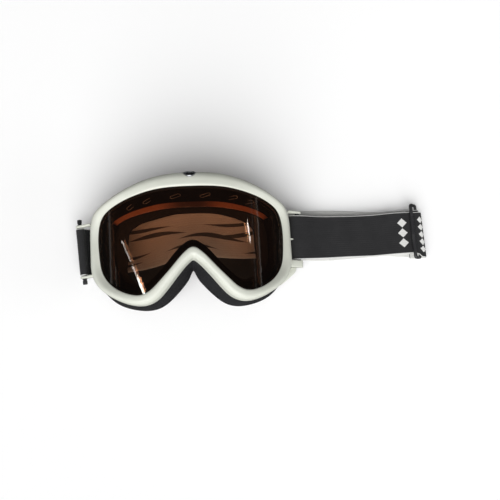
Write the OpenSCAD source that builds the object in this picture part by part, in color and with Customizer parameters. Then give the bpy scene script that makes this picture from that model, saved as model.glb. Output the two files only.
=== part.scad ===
// Snow goggles lying on their back, with the elastic strap folded behind them.
// X runs to the right across the face, Y towards the brow and Z out of the lens.
// The origin is under the strap, on the plane that the two halves of the frame share.

/* [Lens] */
// Width of the lens that shows inside the rim
lens_w = 153; // [146:1:162]
// Height of the lens from its brow edge to its cheek edge
lens_h = 83.7; // [79:0.1:90]
// How far the bent lens drops from its middle to its sides
lens_drop = 35.6; // [30:0.1:38]
// Thickness of the outer lens
outer_lens_t = 1.2; // [0.8:0.1:1.6]
// Thickness of the inner lens
inner_lens_t = 0.8; // [0.5:0.1:1]
// Thickness of the foam spacer between the lenses
spacer_t = 2.4; // [2:0.1:2.8]
// Width of the foam spacer
spacer_w = 3; // [2:0.1:4]
// How far the lenses reach under the rim
lens_lap = 1.4; // [1:0.1:2]

/* [Frame] */
// Width of the rim above the lens
rim_top = 12.7; // [10:0.1:15]
// Width of the rim beside the lens
rim_side = 9.2; // [8:0.1:11]
// Width of the rim below the lens
rim_bottom = 7.7; // [6.5:0.1:9]
// Width of the rim along the nose
rim_nose = 8.2; // [7:0.1:9]
// How far the rim stands proud of the lens
rim_proud = 1.7; // [1.2:0.1:3]
// How far the rim's outer edge lies below the lens
rim_drop = 5; // [3:0.1:6]
// Thickness of the frame's wall
wall_t = 2.4; // [2:0.1:3]
// Thickness of the seat that carries the lenses
seat_t = 1.2; // [1:0.1:1.5]
// Thickness of the flange that carries the face foam
flange_t = 2; // [1.5:0.1:2.5]
// Gap between the seat and the flange at the temples
temple_gap = 0.7; // [0.4:0.1:4]
// Width of the flange inside the lens' edge at the brow
flange_brow = 15.5; // [12:0.5:18]
// Width of the flange inside the lens' edge at the temples
flange_temple = 14; // [11:0.5:16]
// Width of the flange inside the lens' edge at the cheeks and nose
flange_cheek = 7; // [6:0.5:9]
// Length of a vent slot
vent_l = 13; // [9:0.5:15]
// Width of a vent slot
vent_w = 3.4; // [2.5:0.1:4]
// Slant of the vent slots in the brow
vent_slant = 22; // [0:1:30]
// Thickness of the foam behind the vents
vent_foam_t = 2.2; // [1.5:0.1:3]
// Size of the small nib on the right edge of the frame
nib = 2.4; // [1.5:0.1:3]

/* [Face foam] */
// Height of the face surface above the table at the nose
face_z = 28; // [25:0.5:31]
// Height of the face surface above the table at the temples
temple_z = 3.7; // [3.6:0.1:6]
// Radius of the face surface
face_r = 130; // [125:1:140]
// Thickness of the firm foam
firm_t = 7; // [5.5:0.1:7.5]
// Thickness of the soft foam
soft_t = 4; // [3:0.1:4.5]
// Thickness of the fleece that meets the face
fleece_t = 1.5; // [1:0.1:2]
// How far the foam spreads past the frame at the cheeks
foam_spread = 5; // [3:0.1:7]

/* [Strap] */
// Width of the strap
strap_w = 40; // [36:0.5:44]
// Thickness of the strap
strap_t = 1.6; // [1.2:0.1:1.8]
// Distance from the right bar to the middle of the fold
fold_reach = 112; // [100:1:130]
// Lean of the fold and of the slider
fold_lean = 6.5; // [0:0.5:9]
// Length of the strap end that is sewn down behind the left bar
tab_l = 34; // [28:1:40]
// Length of the sewn end that grips the slider
grip_l = 9; // [8:0.5:12]

/* [Bars] */
// Radius of the two bars that carry the strap
bar_r = 1.9; // [1.6:0.1:2.2]
// Running clearance between a bar and its holes
bar_clear = 0.05; // [0.03:0.01:0.08]
// Height of the bars above the table
bar_z = 16; // [15:0.5:18]
// Distance from the side of the frame to a bar
bar_gap = 6.5; // [6:0.1:8]
// Height of the left bar's middle up the face
left_bar_y = 2.5; // [-2:0.5:6]
// Height of the right bar's middle up the face
right_bar_y = 7.3; // [2:0.1:9]
// Lean of the left bar
left_lean = 3.8; // [0:0.1:5]
// Lean of the right bar
right_lean = 1; // [0:0.1:2]
// Thickness of the two left lugs and of the upper right one
lug_t = 2; // [1.6:0.1:3]
// Thickness of the lower right lug
heavy_lug_t = 6; // [4:0.1:7]
// How far the left bar stands out past its lugs
bar_end = 5; // [3:0.5:7]

/* [Slider] */
// Radius of the slider's rails
rail_r = 1.5; // [1.2:0.1:1.8]
// Radius of the slider's sewn bar
grip_r = 1.2; // [1:0.1:1.4]
// Distance along the strap from the rail to the sewn bar
slider_w = 4.5; // [3.5:0.1:6]
// Play between the slider's ends and the strap's edges
slider_play = 2.5; // [2:0.1:4]

/* [Badge] */
// Radius of the badge on the brow
badge_r = 5.2; // [4:0.1:6]
// Tilt of the badge from the brow towards the front
badge_tilt = 37; // [20:1:40]

/* [Hidden] */
$fn = 32;
air = 0.3;
touch = 0.15;
glue = 0.1;
bend_steps = 10;

// The edge of the lens from the middle of the brow to the top of the nose, for a lens of
// 153 by 83.7: x, y, the outward direction, and the widths of rim, flange and foam spread.
half_edge = [
    [0, 45, 90, rim_top, flange_brow, 2.3],
    [27, 44.3, 74, rim_top - 1.6, flange_brow + 0.5, 2.3],
    [50, 39.5, 49.4, rim_side, flange_brow + 1, 2],
    [66, 33, 33, rim_side - 0.9, flange_brow + 1, 0],
    [73.5, 26, 25, rim_side + 0.2, flange_temple + 1, -3],
    [76.5, 14, 12.5, rim_side - 1.5, flange_temple, -5],
    [76.3, -2, 0, rim_side - 1.5, flange_temple - 1, -5],
    [74, -17, -12, rim_side + 0.4, flange_temple - 2, -4],
    [67, -28, -31, rim_side - 0.5, flange_cheek + 4, -1.5],
    [56, -35.5, -50.7, rim_bottom - 0.6, flange_cheek + 2, foam_spread - 3.5],
    [44, -38.7, -86, rim_bottom, flange_cheek + 1, foam_spread - 3],
    [35, -35.8, -116, rim_bottom + 1.4, flange_cheek, foam_spread + 1.5],
    [26.5, -28, -133.5, rim_nose, flange_cheek - 1, foam_spread + 2.5],
    [17, -18.1, -138, rim_nose - 1.5, flange_cheek - 1, foam_spread + 3.5],
    [8, -8.3, -113, rim_nose - 0.4, flange_cheek, foam_spread + 2],
    [0, -3.3, -90, rim_nose + 1, flange_cheek + 0.5, foam_spread + 2]
];
drawn_w = 153;
drawn_h = 83.7;
last = len(half_edge) - 1;
turns = 2 * last;
steps = 3;
groove = lens_lap + touch;
// Places of the vents and of the nib along the edge, in rows from the middle of the brow.
brow_vents = [0.45, 1.25, 2.05];
cheek_vents = [9.4, 10.5];
nib_place = 5.6;

// The lens' bend, and its height above the foam and flange at the temples.
half_w = row(5)[0];
lens_pack = outer_lens_t + spacer_t + inner_lens_t;
foam_t = firm_t + soft_t + fleece_t;
lens_r = (half_w * half_w + lens_drop * lens_drop) / (2 * lens_drop);
pack_r = lens_r - lens_pack - glue - seat_t;
pack_depth = sqrt(lens_r * lens_r - half_w * half_w)
    - sqrt(pack_r * pack_r - (half_w + groove) * (half_w + groove));
lens_top_z = temple_z + foam_t + flange_t + temple_gap + pack_depth + lens_drop;

// A row of the whole edge: its place, its unit direction outwards and its three widths.
function row(i) =
    let (k = (i % turns + turns) % turns)
    let (m = k > last ? turns - k : k)
    let (p = half_edge[m], side = k > last ? -1 : 1)
    [side * p[0] * lens_w / drawn_w, p[1] * lens_h / drawn_h, side * cos(p[2]), sin(p[2]),
     p[3], p[4], p[5]];

// The edge at any place t between the rows, on a smooth curve through them.
function edge_at(t) =
    let (i = floor(t), u = t - floor(t))
    let (a = row(i - 1), b = row(i), c = row(i + 1), d = row(i + 2))
    0.5 * (2 * b + (c - a) * u + (2 * a - 5 * b + 4 * c - d) * u * u
           + (3 * b - a - 3 * c + d) * u * u * u);

// A point that lies d outwards from the lens' edge at the row e.
function out(e, d) = [e[0], e[1]] + d * [e[2], e[3]] / norm([e[2], e[3]]);

// Heights of a surface bent like the lens, h in front of it, and of the face surface.
function bent_z(x, h) = lens_top_z - lens_r + sqrt((lens_r + h) * (lens_r + h) - x * x);
function face_at(x) = max(temple_z, face_z - face_r + sqrt(face_r * face_r - x * x));

// A place on a section: d is a share of the rim, of the flange and of the spread, and a
// distance. The height is counted up from the lens' edge (1), in front of the bent lens (2)
// or up from the face surface (0).
function spot(e, s) =
    let (d = s[0] * e[4] - s[1] * e[5] + s[2] * e[6] + s[3])
    let (p = out(e, d))
    let (x = out(e, min(d, groove))[0])
    [p[0], p[1],
     s[4] == 1 ? bent_z(x, 0) + s[5] : s[4] == 2 ? bent_z(x, s[5]) : face_at(p[0]) + s[5]];

// The four-sided face a, b, d, c of the points p, split across its shorter diagonal.
function split(p, a, b, c, d) =
    norm(p[a] - p[d]) < norm(p[b] - p[c]) ? [[a, b, d], [a, d, c]] : [[a, b, c], [b, d, c]];

// One section carried round the whole edge.
module ring(section) {
    m = len(section);
    n = turns * steps;
    points = [for (i = [0:n - 1]) for (s = section) spot(edge_at(i / steps), s)];
    faces = [for (i = [0:n - 1]) for (j = [0:m - 1])
        let (a = i * m + j, b = i * m + (j + 1) % m)
        let (c = ((i + 1) % n) * m + j, d = ((i + 1) % n) * m + (j + 1) % m)
        each split(points, a, b, c, d)];
    polyhedron(points, faces);
}

// One section carried along a part of the edge, from t0 to t1, with flat ends.
module strip(section, t0, t1, n) {
    m = len(section);
    points = [for (i = [0:n]) for (s = section) spot(edge_at(t0 + (t1 - t0) * i / n), s)];
    sides = [for (i = [0:n - 1]) for (j = [0:m - 1])
        let (a = i * m + j, b = i * m + (j + 1) % m)
        let (c = (i + 1) * m + j, d = (i + 1) * m + (j + 1) % m)
        each split(points, a, b, c, d)];
    polyhedron(points, concat(sides, [[for (j = [m - 1:-1:0]) j], [for (j = [0:m - 1]) n * m + j]]));
}

// A flat plate in the outline that lies d outside the lens' edge.
module plate(d, h) {
    n = turns * steps;
    linear_extrude(h) polygon([for (i = [0:n - 1]) out(edge_at(i / steps), d)]);
}

// A sheet of thickness t that is bent like the lens, with its front r from the bend's axis.
module bent_sheet(r, t) {
    translate([0, 0, lens_top_z - lens_r]) rotate([90, 0, 0]) difference() {
        cylinder(r = r, h = 3 * lens_h, center = true, $fn = 96);
        cylinder(r = r - t, h = 4 * lens_h, center = true, $fn = 96);
    }
}

// Points of an arc, and of a flowing curve between two level stretches.
function arc(c, r, a0, a1) =
    [for (i = [0:bend_steps]) let (a = a0 + (a1 - a0) * i / bend_steps) c + r * [cos(a), sin(a)]];
function flow(p, q) =
    [for (i = [0:bend_steps]) let (t = i / bend_steps)
        [p[0] + (q[0] - p[0]) * t, p[1] + (q[1] - p[1]) * (1 - cos(180 * t)) / 2]];
function curve(p) =
    [for (i = [0:len(p) - 2]) for (k = [0:3])
        let (u = k / 4, a = p[max(i - 1, 0)], b = p[i], c = p[i + 1], d = p[min(i + 2, len(p) - 1)])
        0.5 * (2 * b + (c - a) * u + (2 * a - 5 * b + 4 * c - d) * u * u
               + (3 * b - a - 3 * c + d) * u * u * u),
     p[len(p) - 1]];

// The outline of a band of width t whose middle follows the route.
function left_of(p, i) =
    let (v = p[min(i + 1, len(p) - 1)] - p[max(i - 1, 0)]) [-v[1], v[0]] / norm(v);
function band(route, t) =
    let (p = [for (i = [0:len(route) - 1]) if (i == 0 || norm(route[i] - route[i - 1]) > 0.01) route[i]])
    concat([for (i = [0:len(p) - 1]) p[i] + t / 2 * left_of(p, i)],
           [for (i = [len(p) - 1:-1:0]) p[i] - t / 2 * left_of(p, i)]);

// A strap of width w whose side view is the path.
module strap(path, w) {
    rotate([90, 0, 0]) linear_extrude(w, center = true) polygon(band(path, strap_t));
}

// Derived sizes
frame_side = row(6)[0] + rim_side;
bar_x = frame_side + bar_gap;
loop_foot = bar_gap + 2;
wrap_r = bar_r + bar_clear + strap_t / 2;
hole_r = bar_r + bar_clear;
lug_gap = strap_w + 1;
left_bar_l = lug_gap + 2 * (lug_t + bar_end);
blind_t = 2;
right_bar_top = lug_gap / 2 + lug_t;
right_bar_low = -lug_gap / 2 - heavy_lug_t + blind_t;
under_mid = strap_t / 2;
tail_mid = strap_t + air + strap_t / 2;
grip_wrap_r = grip_r + bar_clear + strap_t / 2;
grip_z = strap_t + air + grip_wrap_r + strap_t / 2;
top_mid = grip_z + grip_wrap_r + strap_t + air;
rail_z = top_mid + strap_t / 2 + air + rail_r;
fold_r = (top_mid - under_mid) / 2;
leg_l = 30;
fold_leg = 8;
stitch_l = strap_w / 20;
stitch_t = 0.3;
stitch_w = 2 * stitch_t;
boss_wall = 1.6;
eye_wall = 1.5;
lug_h = 7.5;
boss_t = 3.4;
slider_l = strap_w + 2 * slider_play + 2 * rail_r;

module frame() {
    seat = -lens_pack - glue;
    section = [
        [0, 0, 0, 0, 1, 0.2],
        [0, 0, 0, 0, 1, 0.9],
        [0.12, 0, 0, 0, 1, rim_proud],
        [0.4, 0, 0, 0, 1, rim_proud],
        [0.68, 0, 0, 0, 1, 0.2],
        [0.9, 0, 0, 0, 1, -0.45 * rim_drop],
        [1, 0, 0, 0, 1, -rim_drop],
        [1, 0, 0.3, 0, 0, foam_t],
        [0, 0, 0, 0, 0, foam_t],
        [0, 1, 0, 0, 0, foam_t],
        [0, 1, 0, 0, 0, foam_t + flange_t],
        [0, 0, 0, 0, 0, foam_t + flange_t],
        [1, 0, 0, -wall_t, 0, foam_t + flange_t],
        [1, 0, 0, -wall_t, 2, seat - seat_t],
        [0, 0, 0, -1, 2, seat - seat_t],
        [0, 0, 0, -1, 2, seat],
        [0, 0, 0, groove, 2, seat],
        [0, 0, 0, groove, 1, 0.2]
    ];
    color("#dfe2d4") difference() {
        union() {
            ring(section);
            left_side() lugs(lug_t, left_bar_y, left_lean);
            right_side() lugs(heavy_lug_t, right_bar_y, right_lean);
            frame_nib();
            badge_place() cylinder(r = badge_r + boss_wall, h = boss_t, center = true);
        }
        left_side() bar_hole(-left_bar_l, left_bar_l);
        right_side() bar_hole(right_bar_low - touch, right_bar_top + 1);
        for (side = [-1, 1]) {
            for (t = brow_vents) vent(side * t, vent_slant);
            for (t = cheek_vents) vent(side * t, 0);
        }
        badge_place() cylinder(r = badge_r + touch, h = 4);
    }
}

// A vent slot through the frame's wall at the place t of the edge.
module vent(t, slant) {
    e = edge_at(t);
    p = out(e, e[4]);
    low = face_at(p[0]) + foam_t + flange_t;
    high = bent_z(e[0], -lens_pack - seat_t);
    l = min(vent_l, 0.8 * (high - low) / max(sin(slant), 0.01));
    translate([p[0], p[1], (low + high) / 2]) rotate([0, 0, atan2(e[3], e[2]) - 90])
        rotate([0, -slant, 0]) rotate([90, 0, 0]) {
            cube([l - vent_w, vent_w, 4 * wall_t], center = true);
            for (x = [-1, 1]) translate([x * (l - vent_w) / 2, 0, 0])
                cylinder(d = vent_w, h = 4 * wall_t, center = true, $fn = 16);
        }
}

// The places of the two bars: X points outwards from the frame and Y along the bar.
module left_side() {
    translate([-bar_x, left_bar_y, 0]) rotate([0, 0, left_lean]) mirror([1, 0, 0]) children();
}
module right_side() {
    translate([bar_x, right_bar_y, 0]) rotate([0, 0, -right_lean]) children();
}

// How far the frame's side reaches out at the height y up the face.
function side_reach(y) =
    max([for (t = [3:0.1:9]) let (e = edge_at(t), p = out(e, e[4])) if (abs(p[1] - y) < lug_t) p[0]]);

// The pair of lugs that hold the bar at bar_y with this lean, the lower one low_t thick.
module lugs(low_t, bar_y, lean) {
    foot = temple_z + foam_t + air;
    top = foot + lug_h;
    for (y = [[lug_gap / 2, lug_t], [-lug_gap / 2 - low_t, low_t]]) {
        far = y[0] < 0 ? y[0] : y[0] + y[1];
        root = side_reach(bar_y + far) - bar_x - far * sin(lean) - 0.7 * wall_t;
        translate([0, y[0] + y[1], 0]) rotate([90, 0, 0]) linear_extrude(y[1]) {
            polygon([[root, top], [-bar_gap - 0.5, top], [1, bar_z + hole_r + eye_wall - 0.2],
                     [-1.5, bar_z - hole_r - 0.9], [-bar_gap + 0.6, foot], [root, foot]]);
            translate([0, bar_z]) circle(r = hole_r + eye_wall);
        }
    }
}
module bar_hole(y0, y1) {
    translate([0, y1, bar_z]) rotate([90, 0, 0]) cylinder(r = hole_r, h = y1 - y0, $fn = 48);
}
module frame_nib() {
    e = edge_at(nib_place);
    p = out(e, e[4] - 0.8);
    translate([p[0], p[1], bent_z(e[0], 0) - rim_drop - 2]) linear_extrude(1.6)
        polygon([[-1, -nib / 2], [nib, 0], [-1, nib / 2]]);
}

// The badge's place on the slope of the brow, with Z out of the frame.
module badge_place() {
    translate([0, row(0)[1] + rim_top - 4.6, lens_top_z - rim_drop + 0.3])
        rotate([badge_tilt - 90, 0, 0]) children();
}
module badge_bezel() {
    color("#8f9295") badge_place() difference() {
        cylinder(r = badge_r, h = 2);
        translate([0, 0, 0.8]) cylinder(r = badge_r - 1.1, h = 2);
    }
}
module badge_dome() {
    color("#16171a") badge_place() translate([0, 0, 0.8]) rotate_extrude($fn = 48)
        polygon(concat([[0, 0], [badge_r - 1.25, 0]],
                       [for (a = [0:15:90]) [(badge_r - 1.25) * cos(a), 1 + 0.9 * sin(a)]]));
}

module lens_outer() {
    color("#6b3a28", 0.55) intersection() {
        plate(lens_lap, 2 * lens_top_z);
        bent_sheet(lens_r, outer_lens_t);
    }
}
module lens_inner() {
    color("#b98a5f", 0.4) intersection() {
        plate(lens_lap, 2 * lens_top_z);
        bent_sheet(lens_r - outer_lens_t - spacer_t, inner_lens_t);
    }
}
module lens_spacer() {
    color("#1b1b1c") intersection() {
        difference() {
            plate(lens_lap, 2 * lens_top_z);
            translate([0, 0, -1]) plate(lens_lap - spacer_w, 2 * lens_top_z + 2);
        }
        bent_sheet(lens_r - outer_lens_t, spacer_t);
    }
}

module face_foam_firm() {
    low = soft_t + fleece_t;
    color("#262728") ring([
        [1, 0, 0.3, 0, 0, foam_t - glue],
        [1, 0, 0.75, 0, 0, low + 0.3 * firm_t],
        [1, 0, 0.8, 0, 0, low],
        [0, 0, 0, 0, 0, low],
        [0, 1, 0, 0.6, 0, low],
        [0, 1, 0, 0, 0, foam_t - glue],
        [0, 0, 0, 0, 0, foam_t - glue]
    ]);
}
module face_foam_soft() {
    high = soft_t + fleece_t - glue;
    color("#2d2e30") ring([
        [1, 0, 0.8, 0, 0, high],
        [1, 0, 1, 0, 0, fleece_t + 0.5 * soft_t],
        [1, 0, 0.95, 0, 0, fleece_t],
        [0, 0, 0, 0, 0, fleece_t],
        [0, 1, 0, 1, 0, fleece_t],
        [0, 1, 0, 0.6, 0, high],
        [0, 0, 0, 0, 0, high]
    ]);
}
module face_fleece() {
    high = fleece_t - glue;
    color("#3a3b3e") ring([
        [1, 0, 0.95, 0, 0, high],
        [1, 0, 0.8, 0, 0, 0],
        [0, 0, 0, 0, 0, 0],
        [0, 1, 0, 1.6, 0, 0],
        [0, 1, 0, 1, 0, high],
        [0, 0, 0, 0, 0, high]
    ]);
}

// Foam that slopes from the lens seat down to the flange and covers the vents.
module vent_foam(t0, t1, n, reach) {
    seat = -lens_pack - seat_t - air;
    low = foam_t + flange_t + air;
    color("#202122") strip([
        [0, 0, 0, -0.8, 2, seat],
        [0, reach, 0, 0, 0, low],
        [0, reach, 0, vent_foam_t, 0, low],
        [0, 0, 0, -0.8 + vent_foam_t, 2, seat]
    ], t0, t1, n);
}
module brow_vent_foam() { vent_foam(-2.6, 2.6, 16, 0.66); }
module cheek_vent_foam_left() { vent_foam(turns - 11.2, turns - 8.8, 8, 0.6); }
module cheek_vent_foam_right() { vent_foam(8.8, 11.2, 8, 0.6); }

module left_bar() {
    color("#17181a") left_side() translate([0, 0, bar_z]) rotate([90, 0, 0]) difference() {
        cylinder(r = bar_r, h = left_bar_l, center = true);
        for (s = [-1, 1]) translate([0, 0, s * (left_bar_l / 2 - bar_end + 1.4)]) difference() {
            cylinder(r = bar_r + 1, h = 0.8, center = true);
            cylinder(r = bar_r - 0.35, h = 1, center = true);
        }
    }
}
module right_bar() {
    color("#17181a") right_side() translate([0, right_bar_top, bar_z]) rotate([90, 0, 0])
        cylinder(r = bar_r, h = right_bar_top - right_bar_low);
}

module strap_left_loop() {
    path = concat(
        [[-tab_l, under_mid + strap_t]],
        flow([-loop_foot - 1, under_mid + strap_t], [-wrap_r, bar_z - wrap_r]),
        arc([0, bar_z], wrap_r, 180, 0),
        flow([wrap_r, bar_z - wrap_r], [-loop_foot, under_mid]));
    color("#1d1e1e") left_side() strap(path, strap_w);
}
// One stitch that stands on a strap.
module stitch() {
    translate([-stitch_w / 2, -stitch_l / 2, 0]) cube([stitch_w, stitch_l, stitch_t]);
}
module strap_left_stitching() {
    color("#3b3b3a") left_side() for (row = [1, 3]) for (y = [-6:6])
        translate([-tab_l + row * stitch_l, y * strap_w / 14, 2 * strap_t]) stitch();
}

// The strap under the goggles bows towards the brow.
under_start = [-bar_x + loop_foot, left_bar_y + loop_foot * sin(left_lean)];
under_end = [bar_x - bar_gap, right_bar_y + 3.5];
fold_start = [bar_x + fold_reach, right_bar_y - 2];
under_route = [under_start, [-46, 6], [-28, 10.5], [-8, 15], [12, 16], [32, 13], [50, 11.2], under_end];
free_route = [under_end, [110, 10.3], [140, 8.4], [170, 6.6], fold_start];
module strap_under() {
    color("#1d1e1e") linear_extrude(strap_t) polygon(band(curve(under_route), strap_w));
}
module strap_under_free() {
    color("#1d1e1e") difference() {
        linear_extrude(strap_t) polygon(band(curve(free_route), strap_w));
        fold_side() translate([-fold_leg, -strap_w, -1]) cube([2 * fold_leg, 2 * strap_w, 3 * strap_t]);
    }
}

// The place of the fold, which leans across the strap.
module fold_side() {
    right_side() translate([fold_reach, 0, 0]) rotate([0, 0, fold_lean]) children();
}
// What lies between the strap's two edges.
module between_edges() {
    right_side() translate([0, -strap_w / 2, -1]) cube([2 * fold_reach, strap_w, rail_z + 10]);
}
module strap_fold() {
    path = concat([[-fold_leg, top_mid]], arc([0, fold_r + under_mid], fold_r, 90, -90),
                  [[-fold_leg, under_mid]]);
    color("#1d1e1e") intersection() {
        fold_side() strap(path, 1.5 * strap_w);
        between_edges();
    }
}
module strap_top() {
    color("#1d1e1e") difference() {
        right_side() translate([leg_l, -strap_w / 2, top_mid - strap_t / 2])
            cube([fold_reach - leg_l, strap_w, strap_t]);
        fold_side() translate([-fold_leg, -strap_w, 0]) cube([4 * fold_leg, 2 * strap_w, 2 * rail_z]);
    }
}
module strap_right_loop() {
    path = concat([[leg_l, top_mid]], flow([leg_l - 2, top_mid], [0, bar_z + wrap_r]),
                  arc([0, bar_z], wrap_r, 90, 270), flow([0, bar_z - wrap_r], [leg_l - 6, tail_mid]),
                  [[leg_l, tail_mid]]);
    color("#1d1e1e") right_side() strap(path, strap_w);
}
module strap_tail() {
    color("#1d1e1e") difference() {
        right_side() translate([leg_l, -strap_w / 2, tail_mid - strap_t / 2])
            cube([fold_reach - leg_l, strap_w, strap_t]);
        fold_side() translate([-grip_l, -strap_w, 0]) cube([4 * grip_l, 2 * strap_w, 2 * rail_z]);
    }
}
module strap_tail_end() {
    path = concat([[-grip_l, tail_mid]], arc([0, grip_z], grip_wrap_r, -90, 90),
                  flow([-1, grip_z + grip_wrap_r], [-grip_l + 1, tail_mid + strap_t + touch]),
                  [[-grip_l, tail_mid + strap_t + touch]]);
    color("#232424") fold_side() strap(path, strap_w - 0.6);
}
module strap_tail_stitching() {
    color("#3b3b3a") fold_side() for (y = [-6:6])
        translate([stitch_w - grip_l, y * strap_w / 14, tail_mid + 1.5 * strap_t + touch]) stitch();
}

module slider() {
    half = slider_l / 2;
    color("#1b1c1d") fold_side() {
        translate([-slider_w, 0, rail_z]) rotate([90, 0, 0])
            cylinder(r = rail_r, h = slider_l, center = true);
        translate([0, 0, grip_z]) rotate([90, 0, 0])
            cylinder(r = grip_r, h = slider_l, center = true);
        for (s = [-1, 1]) translate([0, s * (half - rail_r), 0]) hull() {
            translate([-slider_w, 0, rail_z]) rotate([90, 0, 0])
                cylinder(r = rail_r, h = 2 * rail_r, center = true);
            translate([0, 0, grip_z]) rotate([90, 0, 0])
                cylinder(r = grip_r + 0.2, h = 2 * rail_r, center = true);
        }
    }
}

frame();
lens_outer();
lens_spacer();
lens_inner();
face_foam_firm();
face_foam_soft();
face_fleece();
brow_vent_foam();
cheek_vent_foam_left();
cheek_vent_foam_right();
badge_bezel();
badge_dome();
left_bar();
right_bar();
strap_left_loop();
strap_left_stitching();
strap_under();
strap_under_free();
strap_fold();
strap_top();
strap_right_loop();
strap_tail();
strap_tail_end();
strap_tail_stitching();
slider();
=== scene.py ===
"""Dresses the snow goggles over their CAD frame, and lights and frames them like the photograph.

Sizes are in millimetres in the row frame: X right across the face, Y up to the brow, Z out of
the lens. They become metres where a mesh is made.
"""

import logging
import math
from collections.abc import Callable, Sequence
from dataclasses import dataclass, field
from enum import Enum

import bpy
import numpy as np
from mathutils import Matrix, Vector


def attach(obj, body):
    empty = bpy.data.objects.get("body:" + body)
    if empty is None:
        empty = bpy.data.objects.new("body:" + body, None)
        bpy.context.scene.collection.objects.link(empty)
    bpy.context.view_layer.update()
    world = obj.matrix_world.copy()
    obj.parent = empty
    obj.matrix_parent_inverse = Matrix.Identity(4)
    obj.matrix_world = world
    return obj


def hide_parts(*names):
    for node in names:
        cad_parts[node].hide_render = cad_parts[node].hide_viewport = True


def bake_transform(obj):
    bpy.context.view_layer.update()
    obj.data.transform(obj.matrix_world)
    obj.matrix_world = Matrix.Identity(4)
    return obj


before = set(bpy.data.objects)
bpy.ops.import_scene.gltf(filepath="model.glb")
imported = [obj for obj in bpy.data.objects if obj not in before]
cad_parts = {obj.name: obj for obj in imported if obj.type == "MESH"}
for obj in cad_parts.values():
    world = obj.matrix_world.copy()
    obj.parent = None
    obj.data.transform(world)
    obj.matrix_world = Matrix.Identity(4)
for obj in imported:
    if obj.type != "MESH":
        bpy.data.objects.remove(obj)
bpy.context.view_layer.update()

MM = 0.001
FRONT = np.array([0.0, 0.0, 1.0])
LOG = logging.getLogger("goggles")

Piece = bpy.types.Object
Socket = bpy.types.NodeSocket
Material = bpy.types.Material
Placer = Callable[[np.ndarray], np.ndarray]
Colour = tuple[float, float, float, float]
Links = dict[int | str, object]


class Height(Enum):
    """What the heights of a section round the lens are counted from."""

    FACE = "up from the surface that meets the face"
    EDGE = "up from the lens' front at its edge"
    LENS = "in front of the bent lens"


class Side(Enum):
    """The two sides of the goggles, as the sign of X."""

    LEFT = -1
    RIGHT = 1


class Outer(Enum):
    """Which way the webbing's dark face looks, seen along its route with its width to the left."""

    ABOVE = 1
    BELOW = -1


@dataclass(frozen=True)
class Spot:
    """One corner of a section round the lens.

    The distance outwards from the lens' edge is a share of the rim, of the flange (inwards) and
    of the foam's spread, and a fixed shift. The corner is rounded over the distance soft. The
    foam is thicker at the nose and the cheeks, and lift is the corner's share of that. It
    reaches inwards past the flange, and inner is the corner's share of that.
    """

    rim: float
    flange: float
    spread: float
    shift: float
    height: Height
    up: float
    soft: float = 0.3
    lift: float = 0.0
    inner: float = 0.0


def spline(ends: Sequence[np.ndarray], u: np.ndarray) -> np.ndarray:
    """Returns the smooth curve between the middle two of four rows, at the shares u of its way."""
    a, b, c, d = ends
    return 0.5 * (
        2 * b + (c - a) * u + (2 * a - 5 * b + 4 * c - d) * u**2 + (3 * b - a - 3 * c + d) * u**3
    )


def closed_curve(rows: np.ndarray, t: np.ndarray) -> np.ndarray:
    """Runs a smooth closed curve through rows of numbers.

    Args:
        rows: The rows that the curve passes through.
        t: Places on the curve, counted in rows.

    Returns:
        The row at each place.
    """
    i = np.floor(t).astype(int)
    return spline([rows[(i + k) % len(rows)] for k in (-1, 0, 1, 2)], (t - i)[:, None])


def evened(values: np.ndarray, width: float) -> np.ndarray:
    """Smooths a closed series, so that the highlights on its surface run without waves.

    Args:
        values: The series, one row for each station.
        width: The width of the smoothing, in stations.

    Returns:
        The smoothed series.
    """
    share = np.fft.rfftfreq(len(values))
    keep = np.exp(-2 * (math.pi * width * share) ** 2)
    return np.fft.irfft(np.fft.rfft(values, axis=0) * keep[:, None], len(values), axis=0)


def unit(vectors: np.ndarray) -> np.ndarray:
    """Returns the vectors at length one."""
    return vectors / np.linalg.norm(vectors, axis=-1, keepdims=True)


def travelled(route: np.ndarray) -> np.ndarray:
    """Returns how far along a route each of its points lies."""
    return np.concatenate([[0], np.cumsum(np.linalg.norm(np.diff(route, axis=0), axis=1))])


def rounded(corners: np.ndarray, soft: Sequence[float], count: int = 5) -> np.ndarray:
    """Rounds the corners of closed sections.

    Args:
        corners: The corners, as stations by corners by three.
        soft: The distance from each corner at which its rounding starts.
        count: The points on each rounded corner.

    Returns:
        The points, as stations by rounded points by three.
    """
    reach = np.array(soft)[None, :, None]
    ends = []
    for other in (np.roll(corners, 1, axis=1), np.roll(corners, -1, axis=1)):
        run = other - corners
        length = np.linalg.norm(run, axis=2, keepdims=True)
        ends.append(corners + run / np.maximum(length, 1e-6) * np.minimum(reach, 0.48 * length))
    u = np.linspace(0, 1, count)[None, None, :, None]
    a, b, c = (x[:, :, None, :] for x in (ends[0], corners, ends[1]))
    points = (1 - u) ** 2 * a + 2 * u * (1 - u) * b + u**2 * c
    return points.reshape(len(corners), -1, 3)


def grid_faces(rows: int, columns: int, closed: bool) -> np.ndarray:
    """Makes the four-sided faces of a grid whose columns close on themselves.

    Args:
        rows: The number of rows.
        columns: The number of points in a row.
        closed: Whether the last row joins the first.

    Returns:
        The faces, as point numbers.
    """
    r, c = np.meshgrid(np.arange(rows if closed else rows - 1), np.arange(columns), indexing="ij")
    r, c = r.ravel(), c.ravel()
    after, beside = (r + 1) % rows * columns, (c + 1) % columns
    r = r * columns
    return np.stack([r + c, after + c, after + beside, r + beside], axis=1)


def linked(name: str, data: bpy.types.ID) -> Piece:
    """Makes an object of a mesh, a lamp or a camera, and puts it in the scene."""
    thing = bpy.data.objects.new(name, data)
    bpy.context.scene.collection.objects.link(thing)
    return thing


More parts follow.
